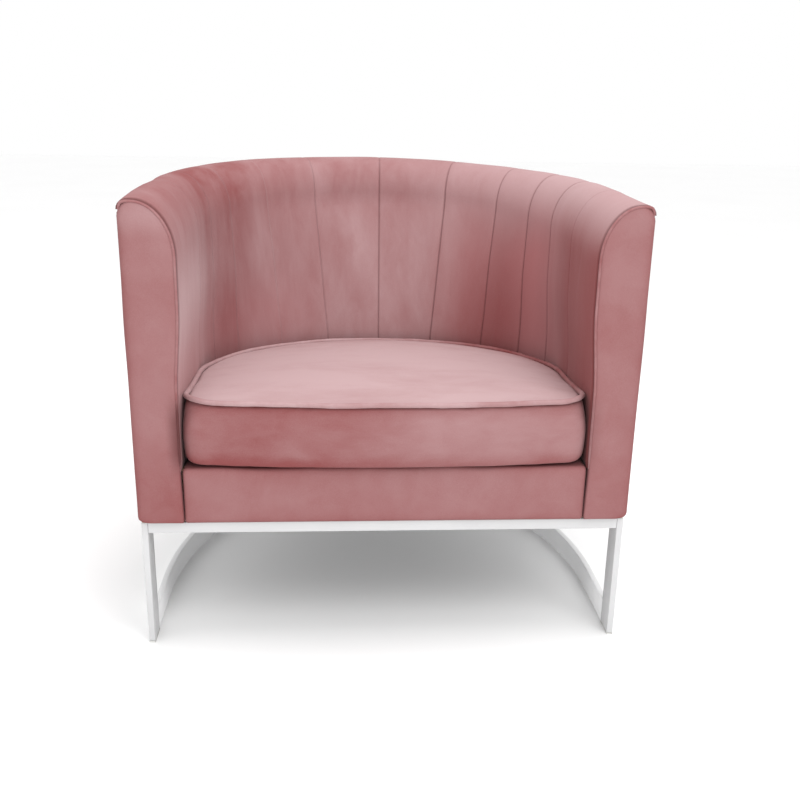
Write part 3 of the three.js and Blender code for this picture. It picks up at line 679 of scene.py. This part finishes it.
def outside_cover():
    """The cover round the outside, turned under at the bottom."""
    front = place_behind(11.5 * MM)
    places = places_with_seams(OUTSIDE_SEAMS, -front, front, 16 * MM)
    cloth, hem_radius = 3 * MM, 5 * MM
    turn = np.linspace(0, math.pi / 2, 5)
    hem = np.column_stack([1 - np.sin(turn), 1 - np.cos(turn)]) * hem_radius + [0, BODY_BOTTOM]
    rings, creases = [], []
    for place, gap in zip(places, seam_distance(places, OUTSIDE_SEAMS)):
        top = rim_height(place) - RIM_WELT_DROP - 1.5 * MM
        heights = np.linspace(BODY_BOTTOM + hem_radius, top, 30)
        face = np.column_stack([np.zeros(len(heights)), heights])[1:]
        outline = np.concatenate([hem, face])
        share = np.clip((outline[:, 1] - BODY_BOTTOM) / (top - BODY_BOTTOM), 0, 1)
        middle = np.sin(share * math.pi)
        points = placed(place, outline * [0, 1])
        groove = 2.2 * MM * bell(gap, 1.7 * MM) + 1.0 * MM * math.exp(-gap / (12 * MM))
        bulge = 1.0 * MM + 0.7 * MM * ripple(points, 0.16, 8)
        outline[:, 0] += groove * middle ** 0.3 - middle * bulge
        inner = [[cloth, top], [cloth, BODY_BOTTOM + 6 * MM], [hem_radius, BODY_BOTTOM + 1.5 * MM]]
        loop = np.concatenate([outline, inner])
        rings.append(placed(place, loop))
        # Painted shade along the seams.
        painted_shade = np.full(len(outline), 0.75 * bell(gap, 1.4 * MM))
        creases.append(np.concatenate([painted_shade, np.zeros(len(inner))]))
    piece = ring_piece("outside_cover", rings)
    store(piece, "painted_shade", np.concatenate(creases))
    return dress(piece, VELVET, "velvet", "outer_cover", nap_and_painted_light=0.3)


def rim_cord():
    """The welt between the inside and outside covers, under the rolled rim."""
    front = place_behind(8 * MM)
    places = np.linspace(-front, front, 220)
    inset = 3.0 * MM
    centres = np.column_stack([plan(places, inset), rim_height(places) - RIM_WELT_DROP + 0.4 * MM])
    inward = unit(plan(places, inset + 1 * MM) - plan(places, inset))
    inward = np.column_stack([inward, np.zeros(len(places))])
    upward = np.tile([0.0, 0.0, 1.0], (len(places), 1))
    radius = PIPING * (1 + 0.05 * ripple(centres, 0.03, 21))
    radius *= 1 - 0.55 * ramp(place_behind(45 * MM), place_behind(12 * MM), np.abs(places))
    piece = ring_piece("rim_cord", tube_rings(centres, inward, upward, radius))
    return dress(piece, VELVET_WELT, "velvet_welt", "rim_welt", nap_and_painted_light=0.25)


def piping_path():
    """The line of an arm's piping: inset and height pairs, from the apron to the outer corner."""
    foot_height = apron_high.z - 6 * MM
    outline = roll_outline(2.0, foot_height, ARM_PIPING, wall_rows=40, roll_rows=20, corner_rows=12)
    outline[:, 0] += 2.2 * MM * ramp(9 * MM, 2 * MM, outline[:, 0])
    drop = np.linspace(3, 15, 5) * MM
    end = np.column_stack([outline[-1, 0] + 0.12 * drop, outline[-1, 1] - drop])
    return np.concatenate([outline, end])


def arm_piping(side, sign):
    """The piping round an arm's front, which thins and tucks away at the outer corner."""
    path = piping_path()
    normals = outline_normals(path)
    step = np.arange(len(path))
    last = len(path) - 1
    tuck = FRONT + ARM_PIPING * 0.9 + 4 * MM * ramp(last - 11, last, step)
    centres = np.column_stack([sign * (HALF_WIDTH - path[:, 0]), tuck, path[:, 1]])
    outward = np.column_stack([-sign * normals[:, 0], np.zeros(len(path)), normals[:, 1]])
    forward = np.tile([0.0, -1.0, 0.0], (len(path), 1))
    radius = ARM_PIPING * (1 + 0.04 * ripple(centres, 0.03, 31))
    radius *= ramp(0, 6, np.minimum(step + 2, 6)) * ramp(last + 2, last - 11, step)
    piece = ring_piece(f"arm_cord_{side}", tube_rings(centres, outward, forward, radius))
    height = points_of(piece.data)[:, 2]
    # Painted shade beside the cushion, stronger on the left.
    beside = ramp(300 * MM, 320 * MM, height) * ramp(432 * MM, 400 * MM, height)
    store(piece, "painted_shade", beside * (0.55 - 0.3 * sign))
    return dress(piece, VELVET_WELT, "velvet_welt", f"arm_piping_{side}", nap_and_painted_light=0.3)


def resample(loop, count):
    """Points spread evenly round an outline."""
    line = np.concatenate([loop, loop[:1]])
    lengths = lengths_along(line)
    marks = np.linspace(0, lengths[-1], count, endpoint=False)
    return np.column_stack([np.interp(marks, lengths, line[:, k]) for k in range(line.shape[1])])


def corner_arc(centre, radius, start, stop, steps=6):
    """An arc from one angle to another, in degrees."""
    turn = np.radians(np.linspace(start, stop, steps))
    return np.column_stack([centre[0] + radius * np.cos(turn), centre[1] + radius * np.sin(turn)])


def padded_panel(name, outline, spine, front, depth, roundness, dome, seed, nap_and_painted_light, edge_painted_shade):
    """A padded panel facing forwards. Its outline is in X and Z, its rings shrink to the spine."""
    start, end = np.array(spine)
    along = end - start
    t = np.clip(((outline - start) @ along) / (along @ along), 0, 1)
    inner = start + t[:, None] * along
    reach = np.linalg.norm(outline - inner, axis=1)
    rise = 30 * MM
    rings = []
    for depth_share in (1.0, 0.75, 0.5, 0.25):
        y = front + roundness + (depth - roundness) * depth_share
        rings.append(np.column_stack([outline[:, 0], y, outline[:, 1]]))
    steps = np.array([0, 0.012, 0.03, 0.055, 0.09, 0.14, 0.21, 0.3, 0.42, 0.56, 0.72])
    for step in steps:
        flat = outline + (inner - outline) * step
        distance = reach * step
        rounded = np.clip(roundness - distance, 0, None)
        y = front + roundness - np.sqrt(np.clip(roundness ** 2 - rounded ** 2, 0, None))
        y -= dome * (1 - np.clip(1 - distance / rise, 0, 1) ** 2.5)
        points = np.column_stack([flat[:, 0], y, flat[:, 1]])
        points[:, 1] += 0.7 * MM * ripple(points, 0.09, seed) * ramp(0, 0.15, step)
        rings.append(points)
    piece = ring_piece(name, rings)
    # Painted shade on the panel's sides and close round its edge, and its level darkened towards the
    # edge: painted shade.
    sides = [0.75, 0.7, 0.6, 0.5]
    shade = np.concatenate([sides, 0.6 * np.exp(-steps / 0.022)])
    store(piece, "painted_shade", np.repeat(shade, len(outline)))
    edge = np.concatenate([np.ones(len(sides)), np.exp(-steps / 0.2)])
    store(piece, "nap_and_painted_light", nap_and_painted_light - (edge[:, None] * edge_painted_shade[None, :]).ravel())
    return piece


def fold_at_apron(points, across):
    """Shallow folds in an arm's front, round the two ends of the seam to the apron."""
    for drop in (4 * MM, 30 * MM):
        up = points[:, 2] - (apron_high.z - drop)
        reach = np.hypot(across, up)
        rays = np.cos(6 * np.arctan2(up, across))
        fold = rays * np.exp(-reach / (11 * MM)) * ramp(0, 5 * MM, reach)
        points[:, 1] -= 1.3 * MM * fold * ramp(FRONT + 9 * MM, FRONT + 3 * MM, points[:, 1])


def arm_facing(side, sign):
    """The panel on an arm's front, soft at its outer edge and tucked under the piping inside."""
    bottom, high = BODY_BOTTOM, rim_height(2.0)
    foot, heel = 9 * MM, 2 * MM
    roll = roll_outline(2.0, apron_high.z + 4 * MM, moved=ARM_PIPING * 1.1)
    low_corner = corner_arc((foot, bottom + foot), foot, 180, 270)
    inner_corner = corner_arc((ARM_THICKNESS - heel, bottom + heel), heel, 270, 360)
    loop = np.concatenate([low_corner, inner_corner, roll, [[0, roll[-1, 1] - 6 * MM]]])
    loop = resample(loop, 260)
    outline = np.column_stack([sign * (HALF_WIDTH - loop[:, 0]), loop[:, 1]])
    middle = sign * (HALF_WIDTH - ARM_THICKNESS / 2)
    spine = ((middle, bottom + 34 * MM), (middle, high - 46 * MM))
    roundness = 3.5 * MM + 7.5 * MM * ramp(22 * MM, 2 * MM, loop[:, 0])
    # Painted shade towards the outer edge.
    edge_painted_shade = 0.04 + 0.2 * ramp(30 * MM, 8 * MM, loop[:, 0])
    piece = padded_panel(f"arm_front_{side}", outline, spine, FRONT, 12 * MM, roundness, 2.2 * MM,
                         41 + sign, 0.27, edge_painted_shade)
    points = points_of(piece.data)
    across = points[:, 0] - sign * (HALF_WIDTH - ARM_THICKNESS)
    fold_at_apron(points, across)
    piece.data.vertices.foreach_set("co", points.ravel())
    height = points[:, 2]
    pile_and_painted_light = stored(piece, "nap_and_painted_light")
    # Darker towards the bottom on the left arm, and a painted highlight at the top under the piping.
    pile_and_painted_light -= 0.12 * ramp(480 * MM, 250 * MM, height) * (1 - sign) / 2
    pile_and_painted_light += (0.17 - 0.07 * sign) * ramp(high - 60 * MM, high - 16 * MM, height)
    store(piece, "nap_and_painted_light", pile_and_painted_light)
    # Painted shade beside the cushion, stronger on the left.
    beside = ramp(24 * MM, 2 * MM, np.abs(across)) * ramp(285 * MM, 340 * MM, height)
    beside *= ramp(440 * MM, 380 * MM, height) * (0.42 - 0.24 * sign)
    store(piece, "painted_shade", np.maximum(stored(piece, "painted_shade"), beside))
    return dress(piece, VELVET_PLAIN, "velvet", f"arm_facing_{side}")


def apron():
    """The padded panel under the cushion, rounded at its edges."""
    half = apron_high.x + 0.5 * MM
    low, high = apron_low.z, apron_high.z - 1 * MM
    foot, radius = 4.5 * MM, 8 * MM
    corners = [(-1, low + foot, foot, 180), (1, low + foot, foot, 270),
               (1, high - radius, radius, 0), (-1, high - radius, radius, 90)]
    arcs = [corner_arc((side * (half - size), height), size, start, start + 90)
            for side, height, size, start in corners]
    outline = resample(np.concatenate(arcs), 420)
    edge = ramp(high - 4 * MM, high, outline[:, 1])
    outline[:, 1] -= edge * 0.8 * MM * (1 + ripple(outline[:, [0, 0, 0]], 0.2, 52))
    middle = (low + high) / 2
    reach = half - (high - low) / 2
    spine = ((-reach, middle), (reach, middle))
    roundness = np.full(len(outline), 6 * MM)
    # Painted shade round the edge.
    edge_painted_shade = np.full(len(outline), 0.16)
    piece = padded_panel("apron_panel", outline, spine, apron_low.y, apron_high.y - apron_low.y,
                         roundness, 2.5 * MM, 57, 0.3, edge_painted_shade)
    return dress(piece, VELVET_PLAIN, "velvet", "apron_cover", "apron_foam")


# ---------- the cushion


def cushion_outline(count):
    """The cushion seen from above, anticlockwise from the middle of its front."""
    corner_x = CUSHION_HALF - CUSHION_CORNER
    corner_y = CUSHION_FRONT + CUSHION_BOW + CUSHION_CORNER
    curve_y = FRONT + CUSHION_CURVE_START
    t = np.linspace(0, 1, 24)[:-1]
    bow_x = 2 * (1 - t) * t * corner_x * 0.6 + t ** 2 * corner_x
    bow_y = CUSHION_FRONT + CUSHION_BOW * t ** 2
    right = np.column_stack([bow_x, bow_y])
    right = np.concatenate([right, corner_arc((corner_x, corner_y), CUSHION_CORNER, -90, 0, 16)])
    turn = np.linspace(0, math.pi / 2, 40)
    curve = np.column_stack([CUSHION_HALF * np.cos(turn),
                             curve_y + (CUSHION_BACK - curve_y) * np.sin(turn)])
    right = np.concatenate([right, curve])
    left = right[1:-1][::-1] * [-1, 1]
    return resample(np.concatenate([right, left]), count)


def cushion_top(y):
    """The height of the cushion's top edge, which falls towards the back."""
    share = (y - CUSHION_FRONT) / (CUSHION_BACK - CUSHION_FRONT)
    return CUSHION_TOP_FRONT + (CUSHION_TOP_BACK - CUSHION_TOP_FRONT) * share


def moved_in(outline, distance):
    """An anticlockwise outline moved inwards by a distance at each point."""
    along = unit(np.roll(outline, -1, axis=0) - np.roll(outline, 1, axis=0))
    return outline + np.column_stack([-along[:, 1], along[:, 0]]) * distance[:, None]


def welt_line(count):
    """The centre line of the cushion's top welt, slightly wavy as sewn."""
    outline = cushion_outline(count)
    flat = moved_in(outline, np.full(count, CUSHION_WELT))
    line = np.column_stack([flat, cushion_top(flat[:, 1]) - CUSHION_WELT])
    corner = bell(np.abs(line[:, 0]) - CUSHION_HALF + 12 * MM, 26 * MM)
    corner *= ramp(FRONT + 130 * MM, FRONT + 30 * MM, line[:, 1])
    line[:, 2] += 1.1 * MM * ripple(line, 0.12, 61) - 0.8 * MM + 2.5 * MM * corner
    return line


def cushion_shape():
    """The sewn cover before it is stuffed: a flat-sided shape with a low crown."""
    outline = cushion_outline(300)
    centre = np.array([0.0, (CUSHION_FRONT + CUSHION_BACK) / 2])
    inset = 5 * MM
    seam = moved_in(outline, np.full(len(outline), inset))
    tall = cushion_top(seam[:, 1]) - inset - CUSHION_BOTTOM
    # Up the side: how far in, in mm, how far up, in mm or as a share, and how much it bulges.
    lower = [(30, 0, 0), (4, 0.3, 0.5), (1.2, 3, 0.7), (0.6, 10, 0.9)]
    upper = [(0.2, 0.38, 1.1), (0.4, 0.6, 1.1), (2.2, 0.86, 0.5), (5.2, 1, 0)]
    forward = ramp(FRONT + 55 * MM, FRONT + 8 * MM, outline[:, 1])
    corner = bell(np.abs(outline[:, 0]) - CUSHION_HALF + 19 * MM, 17 * MM)
    corner *= ramp(FRONT + 75 * MM, FRONT + 25 * MM, outline[:, 1])
    swell = (3 * forward + 9 * corner) * MM
    rings = []
    for profile, whole in ((lower, np.full(len(outline), MM)), (upper, tall)):
        for step_in, rise, bulge in profile:
            flat = moved_in(outline, step_in * MM - bulge * swell)
            rings.append(np.column_stack([flat, CUSHION_BOTTOM + rise * whole]))
    for shrink in np.linspace(0.97, 0.06, 22):
        flat = centre + (seam - centre) * shrink
        crown = 15 * MM * (1 - shrink ** 2.6) ** 0.85
        rings.append(np.column_stack([flat, cushion_top(flat[:, 1]) - inset + crown]))
    return ring_piece("seat_cushion", rings)


def remeshed(piece, voxel):
    """Rebuilds a closed piece from voxels, so that its cloth is even, and smooths the steps."""
    modifier = piece.modifiers.new("even", "REMESH")
    modifier.mode = "VOXEL"
    modifier.voxel_size = voxel
    graph = bpy.context.evaluated_depsgraph_get()
    mesh = bpy.data.meshes.new_from_object(piece.evaluated_get(graph))
    piece.modifiers.clear()
    piece.data = mesh
    work = bmesh.new()
    work.from_mesh(mesh)
    for _ in range(4):
        bmesh.ops.smooth_vert(work, verts=work.verts, factor=0.5,
                              use_axis_x=True, use_axis_y=True, use_axis_z=True)
    work.to_mesh(mesh)
    work.free()
    mesh.polygons.foreach_set("use_smooth", [True] * len(mesh.polygons))


def inflate(piece, held, pressure, most, frames=20):
    """Stuffs a cover: cloth under pressure, held at its seams, which moves by less than most."""
    start = points_of(piece.data)
    group = piece.vertex_groups.new(name="seams")
    for index in np.nonzero(held > 0.01)[0]:
        group.add([int(index)], float(held[index]), "REPLACE")
    cloth = piece.modifiers.new("stuffing", "CLOTH")
    settings = {"quality": 4, "mass": 0.2, "tension_stiffness": 12, "compression_stiffness": 12,
                "bending_stiffness": 0.4, "use_pressure": True, "uniform_pressure_force": pressure,
                "vertex_group_mass": "seams"}
    for key, value in settings.items():
        setattr(cloth.settings, key, value)
    cloth.settings.effector_weights.gravity = 0
    cloth.point_cache.frame_start = 1
    cloth.point_cache.frame_end = frames
    scene = bpy.context.scene
    for number in range(1, frames + 1):
        scene.frame_set(number)
    graph = bpy.context.evaluated_depsgraph_get()
    moves = points_of(piece.evaluated_get(graph).data) - start
    piece.modifiers.clear()
    scene.frame_set(1)
    lengths = np.linalg.norm(moves, axis=1)
    limited = most * np.tanh(lengths / most)
    moves *= (limited / np.maximum(lengths, 1e-9))[:, None]
    piece.data.vertices.foreach_set("co", (start + moves).ravel())
    piece.data.update()
    print("stuffing moved the cover by up to", round(float(lengths.max()) * 1000, 1), "mm")


def nearest(points, line):
    """How far each point is from a line's nearest point."""
    best = np.empty(len(points))
    size = 4000
    for first in range(0, len(points), size):
        apart = points[first:first + size, None, :] - line[None, :, :]
        best[first:first + size] = np.sqrt((apart ** 2).sum(-1)).min(1)
    return best


def on_right(points, start, depth):
    """1 on the right of the cushion and behind its front, where less light falls."""
    behind = ramp(FRONT, FRONT + depth, points[:, 1])
    return ramp(start, 250 * MM, points[:, 0]) * behind


def seat_cushion():
    """The loose cushion's stuffed cover, held by its welt and its bottom edge."""
    piece = cushion_shape()
    line = welt_line(400)
    remeshed(piece, 6 * MM)
    points = points_of(piece.data)
    seam = ramp(16 * MM, 3 * MM, nearest(points, line))
    foot = ramp(CUSHION_BOTTOM + 9 * MM, CUSHION_BOTTOM + 1 * MM, points[:, 2])
    inflate(piece, np.maximum(seam, foot), pressure=4.0, most=12 * MM)
    subdivide = piece.modifiers.new("fine", "SUBSURF")
    subdivide.levels = 1
    subdivide.render_levels = 1
    points = points_of(piece.data)
    gap = nearest(points, line)
    above = points[:, 2] - cushion_top(points[:, 1])
    below_welt = ramp(-1 * MM, -4 * MM, above + CUSHION_WELT)
    close = bell(np.clip(gap - CUSHION_WELT, 0, None), 2.4 * MM)
    right = on_right(points, 0, 200 * MM)
    # Painted shade along the welt, strongest under it and at the back right.
    store(piece, "painted_shade", close * (0.25 + 0.55 * below_welt + 0.35 * right * (1 - below_welt)))
    # Painted light and shade: the top pale, the sides darker, darker again near the welt and towards
    # the bottom, and painted shade at the back right.
    upper = ramp(-9 * MM, -4 * MM, above)
    side = 0.32 + 0.12 * points[:, 0] / CUSHION_HALF - 0.16 * bell(gap, 15 * MM)
    side -= 0.2 * ramp(CUSHION_BOTTOM + 30 * MM, CUSHION_BOTTOM + 4 * MM, points[:, 2])
    top = 0.97 - 0.6 * right * np.exp(-gap / (26 * MM))
    store(piece, "nap_and_painted_light", upper * top + (1 - upper) * side)
    return dress(piece, VELVET_SEAT, "velvet", "cushion_foam", "cushion_top_panel",
                 "cushion_bottom_panel", "cushion_boxing", body="cushion")


def cushion_cord():
    """The welt sewn round the cushion's top edge."""
    line = welt_line(420)
    along = unit(np.roll(line, -1, axis=0) - np.roll(line, 1, axis=0))
    outward = unit(np.cross(along, [0.0, 0.0, 1.0]))
    upward = np.cross(outward, along)
    radius = CUSHION_WELT * (1 + 0.05 * ripple(line, 0.025, 66))
    piece = ring_piece("cushion_cord", tube_rings(line, outward, upward, radius), loop=True)
    points = points_of(piece.data)
    right = on_right(points, -50 * MM, 150 * MM)
    # The welt is pale, with painted shade on its right, darkest at the back right.
    store(piece, "nap_and_painted_light", 0.74 - 0.42 * right - 0.18 * ramp(0, 300 * MM, points[:, 0]))
    return dress(piece, VELVET_WELT, "velvet_welt", "cushion_welt", body="cushion")


# ---------- deck and lining


def cloth_plate(name, outline, top, thick, sag, material, node):
    """A stretched cloth with a little thickness, slack in the middle."""
    centre = outline.mean(axis=0)
    rings = []
    steps = np.linspace(1.0, 0.02, 18)
    for level, order in ((-thick, steps[::-1]), (0.0, steps)):
        for step in order:
            flat = centre + (outline - centre) * step
            drop = sag * (1 - step ** 2)
            points = np.column_stack([flat, np.full(len(flat), top + level) - drop])
            points[:, 2] += 0.5 * MM * ripple(points, 0.07, 71) * (1 - step)
            rings.append(points)
    piece = ring_piece(name, rings)
    return dress(piece, material, "lining", node)


def round_backed(half, front, curve, back):
    """A straight-fronted outline with a round back that starts at curve."""
    turn = np.linspace(0, math.pi, 60)
    arc = np.column_stack([half * np.cos(turn), curve + (back - curve) * np.sin(turn)])
    return resample(np.concatenate([[[-half, front], [half, front]], arc]), 200)


def deck():
    _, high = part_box("seat_deck_pad")
    outline = round_backed(high.x, apron_high.y + 0.5 * MM, FRONT + STRAIGHT, high.y)
    top = high.z - 1 * MM
    return cloth_plate("deck_cloth", outline, top, 2 * MM, 1.5 * MM, DECK_CLOTH, "seat_deck_pad")


def lining():
    low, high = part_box("dust_cover")
    outline = round_backed(high.x, low.y, FRONT + STRAIGHT, high.y)
    return cloth_plate("under_lining", outline, high.z, 1.2 * MM, 0.0, LINING, "dust_cover")


# ---------- the base


def rounded_section(low, high):
    """A rectangle with rounded corners, from low to high in two directions."""
    a, b, c, d = low[0] + EDGE, high[0] - EDGE, low[1] + EDGE, high[1] - EDGE
    corners = [((b, d), 0), ((a, d), 90), ((a, c), 180), ((b, c), 270)]
    return np.concatenate([corner_arc(centre, EDGE, start, start + 90, 4) for centre, start in corners])


def bent_bar(name, node, places, bottom, top):
    """A flat bar on edge that follows the base's U."""
    section = rounded_section((0.0, bottom), (BAR, top))
    rings = []
    for place in places:
        flat = plan(place, section[:, 0], BASE_HALF, BASE_STRAIGHT, BASE_REACH)
        rings.append(np.column_stack([flat, section[:, 1]]))
    return dress(ring_piece(name, rings), HOOP_PAINT_LIT_COPY, "painted_steel", node)


def straight_bar(name, node):
    """A flat bar with eased edges, in the place of a CAD bar."""
    low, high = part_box(node)
    work = bmesh.new()
    bmesh.ops.create_cube(work, size=1.0)
    for vertex in work.verts:
        vertex.co = Vector((low[k] + (high[k] - low[k]) * (vertex.co[k] + 0.5) for k in range(3)))
    bmesh.ops.bevel(work, geom=list(work.edges), offset=EDGE, segments=3, profile=0.5, affect="EDGES")
    mesh = bpy.data.meshes.new(name)
    work.to_mesh(mesh)
    work.free()
    return dress(link(name, mesh), PAINT, "painted_steel", node)


def base():
    front = 2 - (floor_bar_low.y - FRONT) / BASE_STRAIGHT
    places = np.concatenate([[-front], np.linspace(-1, 1, 97), [front]])
    bent_bar("floor_hoop", "floor_bar", places, floor_bar_low.z, floor_bar_high.z)
    bent_bar("seat_hoop", "top_frame", places, top_frame_low.z, top_frame_high.z)
    straight_bar("cross_rail", "front_rail")
    for side, sign in (("left", -1), ("right", 1)):
        straight_bar(f"upright_front_{side}", f"front_post_{side}")
        low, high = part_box(f"rear_post_{side}")
        near, far = sorted((abs(low.x), abs(high.x)))
        angles = math.asin(near / (BASE_HALF - BAR)), math.asin(far / BASE_HALF)
        ends = [sign * angle * 2 / math.pi for angle in angles]
        bent_bar(f"upright_rear_{side}", f"rear_post_{side}", np.linspace(*ends, 5), low.z, high.z)


# ---------- camera, light and floor


def camera():
    """The photographed view: from in front, a little to the left and above."""
    yaw, pitch, roll = 0.068, 0.310, 0.019
    level = math.cos(pitch)
    forward = Vector((math.sin(yaw) * level, math.cos(yaw) * level, -math.sin(pitch)))
    right = Vector((math.cos(yaw), -math.sin(yaw), 0.0))
    up = right.cross(forward)
    across = right * math.cos(roll) + up * math.sin(roll)
    upright = -right * math.sin(roll) + up * math.cos(roll)
    data = bpy.data.cameras.new("camera")
    data.sensor_width = 36.0
    data.lens = 42.75
    eye = bpy.data.objects.new("camera", data)
    bpy.context.scene.collection.objects.link(eye)
    turn = Matrix((across, upright, -forward)).transposed().to_4x4()
    eye.matrix_world = Matrix.Translation((-0.076, FRONT - 1.376, 0.862)) @ turn
    bpy.context.scene.camera = eye


def area_light(name, place, aim, size, power):
    """A round white lamp that faces a point."""
    data = bpy.data.lights.new(name, "AREA")
    data.shape = "DISK"
    data.size = size
    data.energy = power
    lamp = bpy.data.objects.new(name, data)
    bpy.context.scene.collection.objects.link(lamp)
    lamp.location = place
    lamp.rotation_euler = (Vector(aim) - Vector(place)).to_track_quat("-Z", "Y").to_euler()


def studio():
    """Soft white light from all round, with three large lamps from the front and above."""
    scene = bpy.context.scene
    scene.view_settings.view_transform = "Standard"
    scene.view_settings.look = "None"
    world = bpy.data.worlds.new("studio")
    world.use_nodes = True
    sky = world.node_tree.nodes["Background"].inputs
    sky["Color"].default_value = (1.0, 1.0, 1.0, 1.0)
    sky["Strength"].default_value = 1.0
    scene.world = world
    area_light("key", (1.1, -1.9, 2.5), (0, 0, 0.45), 1.4, 20)
    area_light("front", (-0.5, -3.0, 0.8), (0, 0, 0.3), 2.2, 18)
    area_light("overhead", (0.1, -0.2, 2.7), (0, 0, 0.4), 1.6, 26)


def floor():
    """A pale floor, 24 m across."""
    steps = 25
    line = np.linspace(-12.0, 12.0, steps)
    points = [(x, y, 0.0) for x in line for y in line]
    piece = mesh_piece("studio_floor", points, grid_faces(steps, steps), closed=False)
    n = Nodes("pale_floor")
    cloud = n.noise(1.2, detail=2.0)
    dark, light = (0.975, 0.975, 0.975), (0.99, 0.99, 0.99)
    piece.data.materials.append(n.mottled(cloud, (0.3, 0.7), dark, light, (0.75, 0.85), 0.05 * MM))


# ---------- the scene

camera()
studio()
floor()
dress_nodes()
inside_back()
outside_cover()
rim_cord()
for side_name, side_sign in (("left", -1), ("right", 1)):
    arm_piping(side_name, side_sign)
    arm_facing(side_name, side_sign)
apron()
seat_cushion()
cushion_cord()
deck()
lining()
base()
